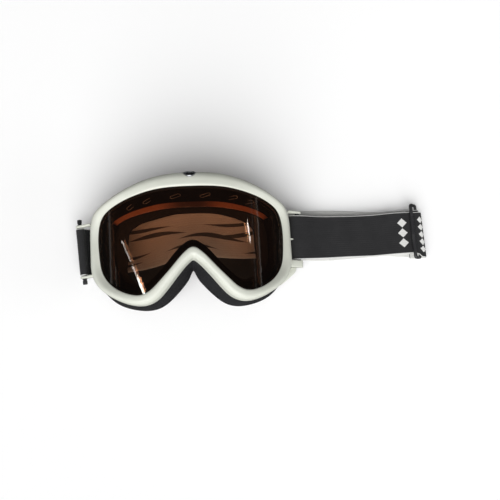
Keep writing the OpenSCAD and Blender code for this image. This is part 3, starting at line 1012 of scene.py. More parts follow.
@dataclass
class Frame:
    """The moulded frame: rim, lens seat, vented wall, rear flange, strap lugs, nib and badge boss.

    The vents and the nib stand at rows of the lens' edge. The corners of the section from
    first_inside onwards look into the goggles.
    """

    goggles: Goggles
    rim_proud: float = 1.7
    wall_t: float = 2.4
    vent_l: float = 13.0
    vent_w: float = 3.4
    vent_slant: float = 22.0
    brow_vents: tuple[float, ...] = (0.45, 1.25, 2.05)
    cheek_vents: tuple[float, ...] = (9.4, 10.5)
    nib_row: float = 5.6
    nib: float = 3.4
    lug_t: float = 2.0
    heavy_lug_t: float = 6.0
    lug_h: float = 7.5
    lug_up: float = 0.3
    eye_wall: float = 1.5
    gusset_t: float = 5.0
    boss_wall: float = 1.3
    badge_clear: float = 0.15
    bar_gap: float = 6.5
    bevel: float = 0.45
    first_inside: int = 10

    def section(self) -> list[Spot]:
        """Returns the corners of the section, from the lens' edge over the rim and back inside."""
        g = self.goggles
        e, drop, proud = g.edge, g.rim_drop, self.rim_proud
        seat = -e.lens_pack - e.glue
        back, shelf = e.foam_t, e.foam_t + e.flange_t
        wall = -self.wall_t
        edge, lens, face = Height.EDGE, Height.LENS, Height.FACE
        return [
            Spot(0, 0, 0, 0, edge, 0.2, 0.1),
            Spot(0, 0, 0, 0.05, edge, 1.0, 0.7),
            Spot(0.12, 0, 0, 0, edge, proud, 1.2),
            Spot(0.56, 0, 0, 0, edge, proud, 1.8),
            Spot(0.8, 0, 0, 0, edge, 0.2, 1.8),
            Spot(0.95, 0, 0, 0, edge, -0.45 * drop, 1.6),
            Spot(1, 0, 0, 0, edge, -drop, 2.4),
            Spot(1, 0, 0.1, -0.2, face, back + 1.2, 0.6, 1),
            Spot(1, 0, 0.1, 0.0, face, back, 0.4, 1),
            Spot(0, 0, 0, 0, face, back, 0.3, 1),
            Spot(0, 0.79, 0, 0, face, back, 0.5, 1),
            Spot(0, 0.79, 0, 0, face, shelf, 0.6, 1),
            Spot(0, 0, 0, 0, face, shelf, 0.6, 1),
            Spot(1, 0, 0, wall, face, shelf, 1.0, 1),
            Spot(1, 0, 0, wall, lens, seat - e.seat_t, 0.3),
            Spot(0, 0, 0, -1, lens, seat - e.seat_t, 0.3),
            Spot(0, 0, 0, -1, lens, seat, 0.3),
            Spot(0, 0, 0, e.groove, lens, seat, 0.1),
            Spot(0, 0, 0, e.groove, edge, 0.2, 0.1),
        ]

    def prism(self, name: str, outline: np.ndarray, thick: float, bevel: float, place: Placer) -> Piece:
        """Makes a plate with bevelled edges.

        Args:
            name: The plate's name.
            outline: Its outline in the plane X Y.
            thick: Its thickness, from Z = 0 upwards.
            bevel: The width of its bevels.
            place: Puts the points in their place.

        Returns:
            The new object.
        """
        n = len(outline)
        low = np.column_stack([outline, np.zeros(n)])
        points = np.concatenate([low, low + FRONT * thick])
        faces = [[k, (k + 1) % n, n + (k + 1) % n, n + k] for k in range(n)]
        faces += [list(range(n))[::-1], list(range(n, 2 * n))]
        thing = solid(name, place(points), faces)
        modifier = thing.modifiers.new("Bevel", "BEVEL")
        modifier.width, modifier.segments, modifier.angle_limit = bevel * MM, 3, math.radians(50)
        return plain(thing)

    def lug_foot(self) -> float:
        """Returns the height at which the lugs start."""
        return self.goggles.edge.temple_z + self.goggles.edge.foam_t + self.lug_up

    def lugs(self, bar: BarPlace, low_t: float) -> list[Piece]:
        """Makes the two lugs that hold a bar.

        Args:
            bar: The bar's place.
            low_t: The thickness of the lower lug.

        Returns:
            The upper and the lower lug.
        """
        g = self.goggles
        foot = self.lug_foot()
        top, eye = foot + self.lug_h, g.bar_r + g.bar_clear + self.eye_wall
        root = g.edge.rows[5][0] + g.edge.rows[5][3] - bar.x - 1.8
        swing = np.radians(np.linspace(-118, 92, 15))
        nose = np.column_stack([eye * np.cos(swing), bar.z + eye * np.sin(swing)])
        upper, lower = -self.bar_gap - 0.5, -self.bar_gap + 0.6
        outline = np.concatenate([nose, [[upper, top], [root, top], [root, foot], [lower, foot]]])
        made = []
        for low, thick in ((g.lug_gap / 2, self.lug_t), (-g.lug_gap / 2 - low_t, low_t)):

            def stand(points: np.ndarray, low: float = low, thick: float = thick) -> np.ndarray:
                """Stands the plate up across the bar."""
                up = points[:, [0, 2, 1]] * np.array([1, -1, 1]) + np.array([0, low + thick, 0])
                return bar.put(up)

            made.append(self.prism("lug", outline, thick, self.bevel, stand))
        return made

    def nib_plate(self) -> Piece:
        """Makes the small nib on the right edge."""
        e = self.goggles.edge
        k = e.station(self.nib_row)
        spot = e.place[k] + e.outward[k] * (e.rim[k] - 0.8)
        z = e.lens_z(e.place[k][0]) - self.goggles.rim_drop - 2
        out = self.nib
        outline = np.array([[-1, -out / 2], [0.6 * out, -0.5], [out, 0], [0.6 * out, 0.5], [-1, out / 2]])
        return self.prism("nib", outline, 1.6, 0.25, lambda p: p + np.array([*spot, z]))

    def gusset(self) -> Piece:
        """Makes the web that stiffens the heavy lug against the wall."""
        outline = np.array([
            [82.2, -19.3], [79.2, -25.2], [73.4, -31.4], [74.2, -33.8], [79.8, -29.6], [86.6, -24.0],
            [88.0, -21.8], [88.2, -19.3],
        ])
        foot = FRONT * self.lug_foot()
        return self.prism("gusset", outline, self.gusset_t, self.bevel, lambda p: p + foot)

    def boss(self) -> Piece:
        """Makes the boss round the badge."""
        r, pocket = self.goggles.badge_r + self.boss_wall, self.goggles.badge_r + self.badge_clear
        return lathe("boss", [
            (0, -3.7), (r - 0.3, -3.7), (r, -3.4), (r, 0.0), (r - 0.12, 0.4), (r - 0.35, 0.65),
            (r - 0.6, 0.75), (pocket + 0.15, 0.75), (pocket, 0.6), (pocket, 0), (0, 0),
        ], self.goggles.badge, 72)

    def cutters(self) -> Piece:
        """Makes the bores for the bars and the pocket for the badge, as one object."""
        g = self.goggles
        hole = g.bar_r + g.bar_clear
        half = g.lug_gap / 2

        def bore(bar: BarPlace, low: float, high: float) -> Piece:
            """Makes one bore along a bar."""
            return lathe("bore", [(0, low), (hole, low), (hole, high), (0, high)], bar.along)

        pocket = g.badge_r + self.badge_clear
        return joined("cutters", [
            bore(g.left, -half - 12, half + 12),
            bore(g.right, -half - self.heavy_lug_t + 1.85, half + self.lug_t + 1),
            lathe("pocket", [(0, -0.2), (pocket + 0.3, -0.2), (pocket + 0.3, 5), (0, 5)], g.badge, 64),
        ])

    def slots(self) -> Piece:
        """Makes a point for each vent, with its turn and its length as attributes."""
        e = self.goggles.edge
        points, turns, lengths = [], [], []
        for rows, slant in ((self.brow_vents, self.vent_slant), (self.cheek_vents, 0.0)):
            for row in [side * r for r in rows for side in (-1, 1)]:
                k = e.station(row)
                p = e.place[k] + e.outward[k] * (e.rim[k] - self.wall_t / 2)
                low = e.face_at(p[0]) + e.foam_t + e.flange_t + e.lift[k]
                high = e.lens_z(e.place[k][0], -e.lens_pack - e.seat_t)
                room = 0.8 * (high - low) / max(math.sin(math.radians(slant)), 0.01)
                out = math.atan2(e.outward[k][1], e.outward[k][0])
                turn = Matrix.Rotation(out - math.pi / 2, 3, "Z")
                turn = turn @ Matrix.Rotation(math.radians(-slant), 3, "Y")
                turn = turn @ Matrix.Rotation(math.pi / 2, 3, "X")
                points.append([p[0], p[1], (low + high) / 2])
                turns.append(list(turn.to_euler()))
                lengths.append(min(self.vent_l, room) / self.vent_l)
        thing = markers("slots", points, turns)
        mark(thing, "length", lengths)
        return thing

    def carve(self, fittings: Piece, boss: Piece, cutters: Piece, slots: Piece) -> Tree:
        """Builds the tree that cuts the vents, the bores and the pocket and adds the fittings.

        Args:
            fittings: The lugs and the nib.
            boss: The boss round the badge and the heavy lug's gusset.
            cutters: The bores and the pocket.
            slots: A point for each vent.

        Returns:
            The tree.
        """
        tree = Tree("frame_carving")
        add = tree.input("Fittings", "Object", fittings)
        cut = tree.input("Bores", "Object", cutters)
        raised = tree.input("Boss", "Object", boss)
        points = tree.input("Vent Points", "Object", slots)
        length = tree.input("Vent Length", "Float", self.vent_l * MM)
        width = tree.input("Vent Width", "Float", self.vent_w * MM)
        depth = tree.input("Vent Depth", "Float", 4 * self.wall_t * MM)
        material = tree.input("Material", "Material", Moulding().material())
        capsule = tree.capsule(length, width, 0.499, 6)
        end = tree.node("ShaderNodeCombineXYZ", {2: tree.math("MULTIPLY", depth, 0.5)})
        start = tree.node("ShaderNodeCombineXYZ", {2: tree.math("MULTIPLY", depth, -0.5)})
        line = tree.node("CurvePrimitiveLine", {"Start": start.outputs[0], "End": end.outputs[0]})
        cutter = tree.node("CurveToMesh", {0: line.outputs[0], 1: capsule, "Fill Caps": True})
        at = tree.node("ObjectInfo", {"Object": points})
        scale = tree.node("ShaderNodeCombineXYZ", {0: tree.named("length"), 1: 1.0, 2: 1.0})
        set_on = tree.scatter(at.outputs["Geometry"], cutter.outputs[0], Scale=scale.outputs[0])
        vents = tree.node("RealizeInstances", {0: set_on})
        added = tree.node("ObjectInfo", {"Object": add}).outputs["Geometry"]
        bores = tree.node("ObjectInfo", {"Object": cut}).outputs["Geometry"]

        def less(body: Socket, tool: Socket) -> Socket:
            """Returns the body with the tool cut out of it."""
            links = {"Mesh 1": body, "Mesh 2": tool}
            return tree.node("MeshBoolean", links, operation="DIFFERENCE", solver="EXACT").outputs[0]

        vented = less(tree.entry.outputs[0], vents.outputs[0])
        collar = tree.node("ObjectInfo", {"Object": raised}).outputs["Geometry"]
        carved = tree.node("JoinGeometry", {0: [less(vented, bores), less(added, bores), collar]})
        tree.finish(carved.outputs[0], material)
        return tree

    def shade_inside(self, thing: Piece) -> None:
        """Marks the faces that look into the goggles, where the finish paints shade.

        Args:
            thing: The ring of the frame.
        """
        spots, stations = len(self.section()), self.goggles.edge.stations
        each = len(thing.data.vertices) // stations // spots
        row = np.repeat(np.arange(spots) >= self.first_inside, each)
        mark(thing, "inside", np.tile(row.astype(float), stations))

    def build(self) -> None:
        """Builds the frame and puts it on the goggles."""
        g = self.goggles
        thing = g.edge.ring("frame_shell", self.section())
        parts = self.lugs(g.left, self.lug_t) + self.lugs(g.right, self.heavy_lug_t)
        fittings = joined("fittings", parts + [self.nib_plate()])
        boss = joined("boss", [self.boss(), self.gusset()])
        cutters, slots = self.cutters(), self.slots()
        self.shade_inside(thing)
        self.carve(fittings, boss, cutters, slots).run(thing, 38)
        for tool in (fittings, boss, cutters, slots):
            bpy.data.objects.remove(tool)
        mount(thing, "goggles", "frame_moulding", "frame")


def mount(thing: Piece, body: str, slot: str, *nodes: str) -> None:
    """Puts a finished piece on its body, in place of its CAD nodes.

    Args:
        thing: The piece.
        body: The body that it moves with.
        slot: The record's material slot; not used.
        nodes: The CAD nodes that it stands for.
    """
    if nodes:
        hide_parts(*nodes)
    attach(thing, body)
    LOG.info("%s: %d faces, on %s", thing.name, len(thing.data.polygons), body)


def pad(thing: Piece, material: Material, slot: str, node: str) -> None:
    """Dresses a soft piece and puts it on the goggles.

    Args:
        thing: The piece.
        material: Its finish.
        slot: The record's material slot; not used.
        node: The CAD node that it stands for.
    """
    thing.data.materials.append(material)
    mount(thing, "goggles", slot, node)


@dataclass
class Lens:
    """The two bent sheets of the lens and the black foam between them."""

    goggles: Goggles
    lap: float = 1.4
    outer_t: float = 1.2
    spacer_t: float = 2.4
    spacer_w: float = 3.0
    inner_t: float = 0.8
    middle: tuple[float, float] = (0.0, 20.0)
    rings: int = 40

    def sheet(self, name: str, ahead: float, thick: float) -> Piece:
        """Makes one bent sheet.

        Args:
            name: The sheet's name.
            ahead: How far its front lies ahead of the lens' front.
            thick: Its thickness.

        Returns:
            The new object.
        """
        e = self.goggles.edge
        rim = (e.place + e.outward * self.lap)[::2]
        n = len(rim)
        share = np.linspace(0, 1, self.rings + 1)[1:, None, None]
        centre = np.array(self.middle)
        flat = (centre + share * (rim - centre)[None]).reshape(-1, 2)
        front = np.column_stack([flat, e.lens_z(flat[:, 0], ahead)])
        back = np.column_stack([flat, e.lens_z(flat[:, 0], ahead - thick)])
        poles = np.array([[*self.middle, e.lens_z(centre[0], h)] for h in (ahead, ahead - thick)])
        count = len(front)
        points = np.concatenate([front, back, poles])
        quads = grid_faces(self.rings, n, False)
        last = (self.rings - 1) * n
        ring = np.arange(n)
        after = (ring + 1) % n
        wall = np.stack([last + ring, last + after, count + last + after, count + last + ring], axis=1)
        faces = quads.tolist() + (quads[:, ::-1] + count).tolist() + wall[:, ::-1].tolist()
        faces += [[2 * count, int(a), int(b)] for a, b in zip(ring, after)]
        faces += [[2 * count + 1, count + int(b), count + int(a)] for a, b in zip(ring, after)]
        thing = solid(name, points, faces)
        out = unit((points - np.array([0, 0, e.lens_top_z - e.lens_r])) * np.array([1, 0, 1]))
        behind = np.arange(len(points)) >= count
        behind[2 * count] = False
        out[behind] *= -1
        thing.data.normals_split_custom_set_from_vertices(out.tolist())
        return thing

    def build(self) -> None:
        """Builds the sheets and the spacer and puts them on the goggles."""
        e = self.goggles.edge
        outer = self.sheet("lens_front_sheet", 0.0, self.outer_t)
        outer.data.materials.append(Tint("lens_tint", (0.87, 0.70, 0.585, 1)).material())
        mount(outer, "goggles", "lens_tint", "lens_outer")
        inner = self.sheet("lens_back_sheet", -self.outer_t - self.spacer_t, self.inner_t)
        inner.data.materials.append(Tint("lens_clear", (0.985, 0.97, 0.95, 1), 0.8).material())
        mount(inner, "goggles", "lens_clear", "lens_inner")
        high, low = -self.outer_t, -self.outer_t - self.spacer_t
        out, into = self.lap - 0.1, self.lap - self.spacer_w
        corners = ((out, high), (out, low), (into, low), (into, high))
        spots = [Spot(0, 0, 0, shift, Height.LENS, up) for shift, up in corners]
        finish = Foam("gap_foam", (0.008, 0.008, 0.009, 1), (0.02, 0.02, 0.022, 1), 1600, 0.1)
        pad(e.ring("lens_gap_foam", spots), finish.material(), "foam_firm", "lens_spacer")


@dataclass
class FacePadding:
    """The foams and fleece between the flange and the face, and the foam behind the vents."""

    goggles: Goggles
    firm_t: float = 7.0
    soft_t: float = 4.0
    fleece_t: float = 1.5
    vent_foam_t: float = 2.2
    vent_ring_slant: float = 28.0

    def face_stack(self) -> None:
        """Builds the firm foam, the soft foam and the fleece."""
        e = self.goggles.edge
        top = e.foam_t - 0.1
        face = Height.FACE
        low, fleece = self.soft_t + self.fleece_t, self.fleece_t
        firm = e.ring("firm_foam_ring", [
            Spot(1, 0, 0.1, 0.15, face, top, 0.5, 1),
            Spot(1, 0, 0.35, 0.2, face, top - 2.5, 2.0, 0.85),
            Spot(1, 0, 0.75, 0, face, low + 0.3 * self.firm_t, 3.0, 0.15),
            Spot(1, 0, 0.8, 0, face, low, 0.5),
            Spot(0, 0, 0, 0, face, low, 0.5),
            Spot(0, 1, 0, 0.6, face, low, 0.5, 0, 1),
            Spot(0, 1, 0, 0, face, top, 0.5, 1, 1),
            Spot(0, 0, 0, 0, face, top, 0.5, 1),
        ])
        finish = Foam("foam_firm", (0.009, 0.009, 0.01, 1), (0.028, 0.028, 0.03, 1), 1500, 0.2)
        pad(firm, finish.material(), "foam_firm", "face_foam_firm")
        soft = e.ring("soft_foam_ring", [
            Spot(1, 0, 0.8, 0, face, low - 0.1, 0.7),
            Spot(1, 0, 1, 0, face, fleece + 0.5 * self.soft_t, 1.6),
            Spot(1, 0, 0.95, 0, face, fleece, 0.7),
            Spot(0, 0, 0, 0, face, fleece, 0.5),
            Spot(0, 1, 0, 1, face, fleece, 0.7, 0, 1),
            Spot(0, 1, 0, 0.6, face, low - 0.1, 0.7, 0, 1),
            Spot(0, 0, 0, 0, face, low - 0.1, 0.5),
        ])
        finish = Foam("foam_soft", (0.009, 0.009, 0.01, 1), (0.030, 0.030, 0.032, 1), 900, 0.3)
        pad(soft, finish.material(), "foam_soft", "face_foam_soft")
        lining = e.ring("fleece_ring", [
            Spot(1, 0, 0.95, 0, face, fleece - 0.1, 0.4),
            Spot(1, 0, 0.8, 0, face, 0, 1.2),
            Spot(0, 0, 0, 0, face, 0, 0.5),
            Spot(0, 1, 0, 1.6, face, 0, 1.0, 0, 1),
            Spot(0, 1, 0, 1, face, fleece - 0.1, 0.4, 0, 1),
            Spot(0, 0, 0, 0, face, fleece - 0.1, 0.5),
        ])
        pad(lining, Fleece().material(), "fleece", "face_fleece")

    def vent_section(self, reach: float) -> list[Spot]:
        """Returns the corners of the foam that slopes from the lens' seat to the flange."""
        e = self.goggles.edge
        seat, low = -e.lens_pack - e.seat_t - 0.3, e.foam_t + e.flange_t + 0.3
        return [
            Spot(0, 0, 0, -0.8, Height.LENS, seat, 0.5),
            Spot(0, reach, 0, 0, Height.FACE, low, 0.6, 1),
            Spot(0, reach, 0, self.vent_foam_t, Height.FACE, low, 0.5, 1),
            Spot(0, 0, 0, self.vent_foam_t - 0.8, Height.LENS, seat, 0.4),
        ]

    def vent_light_rings(self) -> Piece:
        """Makes oval rings round each vent on the brow foam, with Geometry Nodes; their pale grey is
        painted light from the vents.
        """
        e = self.goggles.edge
        spots = self.vent_section(0.53)
        points, turns = [], []
        for row in (-2.05, -1.35, -0.5, 0.5, 1.35, 2.05):
            k = e.station(row)
            top, foot = e.at(spots[0])[k], e.at(spots[1])[k]
            down = unit(foot - top)
            along = unit(e.place[(k + 1) % e.stations] - e.place[k - 1])
            along = np.array([along[0], along[1], 0.0])
            face = unit(np.cross(along, down))
            face = face if face[2] > 0 else -face
            across = np.cross(face, along)
            spot = top + 0.5 * (foot - top) + face * 0.15
            turn = Matrix(np.column_stack([along, across, face]).tolist())
            turn = turn @ Matrix.Rotation(math.radians(self.vent_ring_slant), 3, "Z")
            points.append(spot)
            turns.append(list(turn.to_euler()))
        tree = Tree("vent_light_ring_tree")
        length = tree.input("Length", "Float", 9.0 * MM)
        width = tree.input("Width", "Float", 3.4 * MM)
        bead = tree.input("Bead", "Float", 0.28 * MM)
        # The rings' pale grey is painted light: it stands in for light that comes through the vents.
        vent_ring_plastic = Plastic("vent_ring_painted_light", (0.10, 0.10, 0.10, 1), (0.3, 0.3, 0.29, 1), (0.25, 0.4))
        material = tree.input("Material", "Material", vent_ring_plastic.material())
        oval = tree.capsule(length, width, 0.49, 8)
        circle = tree.node("CurvePrimitiveCircle", {"Resolution": 8, "Radius": bead})
        loop = tree.node("CurveToMesh", {0: oval, 1: circle.outputs[0]})
        tree.finish(tree.scatter(tree.entry.outputs[0], loop.outputs[0]), material)
        return tree.run(markers("vent_welts", points, turns))

    def build(self) -> None:
        """Builds every padded piece."""
        self.face_stack()
        e = self.goggles.edge
        finish = Foam("vent_foam", (0.003, 0.003, 0.004, 1), (0.010, 0.010, 0.012, 1), 1100, 0.2, 0.01)
        dark = finish.material()
        whole = len(e.whole)
        for name, node, first, final, reach in (
            ("brow_filter_foam", "brow_vent_foam", -3.9, 3.9, 0.53),
            ("cheek_filter_foam_left", "cheek_vent_foam_left", whole - 15.05, whole - 3.84, 0.98),
            ("cheek_filter_foam_right", "cheek_vent_foam_right", 3.84, 15.05, 0.98),
        ):
            pad(e.strip(name, self.vent_section(reach), first, final), dark, "vent_foam", node)
        mount(self.vent_light_rings(), "goggles", "vent_foam")


@dataclass
class Badge:
    """The plain badge on the brow: a satin ring and a black resin dome."""

    goggles: Goggles

    def build(self) -> None:
        """Builds the ring and the dome and puts them on the goggles."""
        g = self.goggles
        r = g.badge_r
        ring = lathe("badge_ring", [
            (r - 0.2, 0), (r, 0.2), (r, 1.6), (r - 0.12, 1.88), (r - 0.4, 2.0), (r - 0.75, 1.95),
            (r - 1.0, 1.75), (r - 1.1, 1.45), (r - 1.1, 0.8), (r - 1.6, 0.75), (r - 1.6, 0.0),
        ], g.badge, 96)
        ring.data.materials.append(Metal().material())
        mount(ring, "goggles", "bezel_metal", "badge_bezel")
        edge = r - 1.25
        swing = np.radians(np.linspace(0, 90, 10))
        arch = [(edge * math.cos(a), 1.0 + 0.9 * math.sin(a)) for a in swing[:-1]]
        dome = lathe("badge_resin", [(0, 0.8), (edge - 0.1, 0.8)] + arch + [(0, 1.9)], g.badge, 96)
        resin = Plastic("badge_enamel", (0.012, 0.012, 0.015, 1), (0.03, 0.03, 0.034, 1), (0.05, 0.14), 0.6)
        dome.data.materials.append(resin.material())
        mount(dome, "goggles", "badge_enamel", "badge_dome")


@dataclass
class Bars:
    """The two bars that carry the strap."""

    goggles: Goggles
    left_l: float = 55.0
    bar_end: float = 5.0
    right_low: float = -24.5
    right_high: float = 22.5
    dome: float = 0.7
    groove_deep: float = 0.35

    def rod(self, name: str, bar: BarPlace, low: float, high: float, grooves: Sequence[float]) -> Piece:
        """Turns one bar with domed ends.

        Args:
            name: The bar's name.
            bar: Its place.
            low: Its lower end.
            high: Its upper end.
            grooves: The middles of its grooves.

        Returns:
            The new object.
        """
        r = self.goggles.bar_r
        steps = np.radians(np.linspace(0, 90, 7))
        ends = [(r - self.dome * (1 - math.sin(a)), self.dome * (1 - math.cos(a))) for a in steps]
        profile = [(0.0, low)] + [(x, low + h) for x, h in ends]
        for middle in grooves:
            floor = r - self.groove_deep
            profile += [(r, middle - 0.5), (floor, middle - 0.34)]
            profile += [(floor, middle + 0.34), (r, middle + 0.5)]
        profile += [(x, high - h) for x, h in ends[::-1]] + [(0.0, high)]
        return lathe(name, profile, bar.along)

    def build(self) -> None:
        """Builds both bars."""
        g = self.goggles
        finish = Plastic("bar_plastic", (0.018, 0.018, 0.02, 1), (0.04, 0.04, 0.042, 1), (0.3, 0.46))
        black = finish.material()
        groove = self.left_l / 2 - self.bar_end + 1.4
        left = self.rod("left_strap_bar", g.left, -self.left_l / 2, self.left_l / 2, (-groove, groove))
        right = self.rod("right_strap_bar", g.right, self.right_low, self.right_high, ())
        for thing, body, node in ((left, "left_pin", "left_bar"), (right, "strap", "right_bar")):
            thing.data.materials.append(black)
            mount(thing, body, "bar_plastic", node)


def arc(middle: tuple[float, float], r: float, first: float, final: float, count: int = 24) -> np.ndarray:
    """Returns points of an arc in the plane X Z, from one angle to another."""
    angle = np.radians(np.linspace(first, final, count))
    return np.column_stack([middle[0] + r * np.cos(angle), middle[1] + r * np.sin(angle)])


def flow(start: tuple[float, float], end: tuple[float, float], count: int = 16) -> np.ndarray:
    """Returns points of a flowing curve between two level stretches."""
    u = np.linspace(0, 1, count)
    z = start[1] + (end[1] - start[1]) * (1 - np.cos(math.pi * u)) / 2
    return np.column_stack([start[0] + (end[0] - start[0]) * u, z])


def relaxed(route: np.ndarray, step: float, soft: float) -> np.ndarray:
    """Spaces a route evenly and eases its bends.

    Args:
        route: The points of the route.
        step: The distance between the new points.
        soft: The length over which bends are eased.

    Returns:
        The new points, with the same two ends.
    """
    route = np.asarray(route, float)
    keep = np.concatenate([[True], np.linalg.norm(np.diff(route, axis=0), axis=1) > 1e-4])
    route = route[keep]
    run = travelled(route)
    fine_step = 0.1
    fine = np.linspace(0, run[-1], max(int(run[-1] / fine_step), 20))
    dense = np.column_stack([np.interp(fine, run, column) for column in route.T])
    reach = max(int(3 * soft / fine_step), 1)
    before = 2 * dense[0] - dense[reach:0:-1]
    after = 2 * dense[-1] - dense[-2 : -reach - 2 : -1]
    weight = np.exp(-0.5 * (np.arange(-reach, reach + 1) * fine_step / max(soft, 1e-3)) ** 2)
    weight /= weight.sum()
    longer = np.concatenate([before, dense, after])
    eased = np.column_stack([np.convolve(column, weight, "valid") for column in longer.T])
    run = travelled(eased)
    stops = np.linspace(0, run[-1], max(round(run[-1] / step), 4) + 1)
    return np.column_stack([np.interp(stops, run, column) for column in eased.T])


@dataclass
class Webbing:
    """The elastic webbing: a ribbed band of two faces with rounded selvedges."""

    width: float = 40.0
    thick: float = 1.6
    rib_pitch: float = 2.0
    rib_height: float = 0.09
    per_rib: int = 4

    def __post_init__(self) -> None:
        """Makes the finishes of the two faces."""
        self.dark = WovenElastic(
            "webbing", (0.014, 0.014, 0.015, 1), (0.038, 0.038, 0.04, 1), (0.80, 0.80, 0.78, 1), False
        ).material()
        self.pale = WovenElastic(
            "webbing_reverse", (0.62, 0.62, 0.60, 1), (0.80, 0.80, 0.78, 1), (0.02, 0.02, 0.021, 1), True
        ).material()

    def across(self) -> tuple[np.ndarray, np.ndarray]:
        """Returns places across the band as shares of half its width, and the thickness there."""
        half, edge = self.width / 2, self.thick / 2
        ribs = int(self.width / self.rib_pitch)
        inner = np.linspace(-1, 1, ribs * self.per_rib + 1) * (half - edge)
        swing = np.radians(np.linspace(90, 0, 6))[1:]
        outer = half - edge + edge * np.cos(swing)
        places = np.concatenate([-outer[::-1], inner, outer]) / half
        thick = np.concatenate([np.sin(swing)[::-1], np.ones(len(inner)), np.sin(swing)])
        return places, thick

    def band(
        self,
        name: str,
        route: np.ndarray,
        across: np.ndarray,
        outer: Outer,
        place: Placer,
        start: float = 0,
        widths: np.ndarray | float | None = None,
        shifts: np.ndarray | float = 0.0,
        lean: np.ndarray | float = 0.0,
        cup: np.ndarray | float = 0.0,
    ) -> Piece:
        """Makes one stretch of the webbing.

        Args:
            name: The stretch's name.
            route: The points of its middle line.
            across: The direction of its width at each point.
            outer: Which way its dark face looks.
            place: Puts the points in their place.
            start: The place on the whole webbing at which it starts.
            widths: Its width at each point, where that isn't the webbing's.
            shifts: How far each point is shifted across.
            lean: How far a point is drawn back along X for each millimetre across.
            cup: How far its edges bend down from its middle.

        Returns:
            The new object.
        """
        n = len(route)
        ahead = unit(np.gradient(route, axis=0))
        up = unit(np.cross(ahead, across))
        widths = self.width if widths is None else widths
        widths, shifts, lean, cup = (np.broadcast_to(x, n) for x in (widths, shifts, lean, cup))
        share, thick = self.across()
        away = shifts[:, None] + share[None, :] * widths[:, None] / 2
        middle = route[:, None, :] + across[:, None, :] * away[:, :, None]
        middle[:, :, 0] -= lean[:, None] * away
        middle -= up[:, None, :] * (cup[:, None] * share[None, :] ** 2)[:, :, None]
        rise = up[:, None, :] * (thick[None, :, None] * self.thick / 2) * outer.value
        face, back = middle + rise, (middle - rise)[:, -2:0:-1]
        points = np.concatenate([face, back], axis=1)
        m, p = len(share), points.shape[1]
        faces = grid_faces(n, p, False).tolist()
        for row, flip in ((0, 1), (n - 1, -1)):
            under = [0] + [p - j for j in range(1, m - 1)] + [m - 1]
            for j in range(m - 1):
                corner = dict.fromkeys([j, j + 1, under[j + 1], under[j]])
                faces.append([row * p + c for c in corner][::flip])
        run = travelled(route) + start
        wide = np.concatenate([share, share[-2:0:-1]]) * self.width / 2
        uv = np.stack([np.repeat(run[:, None], p, 1), np.repeat(wide[None], n, 0)], axis=2)
        thing = solid(name, place(points.reshape(-1, 3)), faces, 60, uv.reshape(-1, 2) * MM)
        mask = np.concatenate([thick, thick[-2:0:-1]]) > 0.99
        reverse = np.arange(p) >= m
        phase = wide / self.rib_pitch
        for key, values in (("phase", phase), ("ribbed", mask), ("reverse", reverse)):
            mark(thing, key, np.tile(values.astype(float), n))
        return self.ribbed(thing)

    def ribbed(self, thing: Piece) -> Piece:
        """Raises the ribs with Geometry Nodes and dresses the two faces.

        Args:
            thing: A plain band with its attributes.

        Returns:
            The same object.
        """
        tree = Tree("webbing_ribs")
        height = tree.input("Rib Height", "Float", self.rib_height * MM)
        material = tree.input("Material", "Material", self.dark)
        reverse = tree.input("Reverse", "Material", self.pale)
        wave = tree.math("COSINE", tree.math("MULTIPLY", tree.named("phase"), 2 * math.pi))
        lift = tree.math("MULTIPLY", tree.math("MULTIPLY", wave, height), tree.named("ribbed"))
        normal = tree.node("InputNormal")
        offset = tree.node("ShaderNodeVectorMath", {0: normal.outputs[0], "Scale": lift}, operation="SCALE")
        moved = tree.node("SetPosition", {0: tree.entry.outputs[0], "Offset": offset.outputs[0]})
        real = tree.node("RealizeInstances", {0: moved.outputs[0]})
        dressed = tree.node("SetMaterial", {0: real.outputs[0], "Material": material})
        chosen = tree.math("GREATER_THAN", tree.named("reverse"), 0.5)
        lined = tree.node("SetMaterial", {0: dressed.outputs[0], "Selection": chosen, "Material": reverse})
        tree.group.links.new(lined.outputs[0], tree.group.nodes.new("NodeGroupOutput").inputs[0])
        return tree.run(thing, 60)


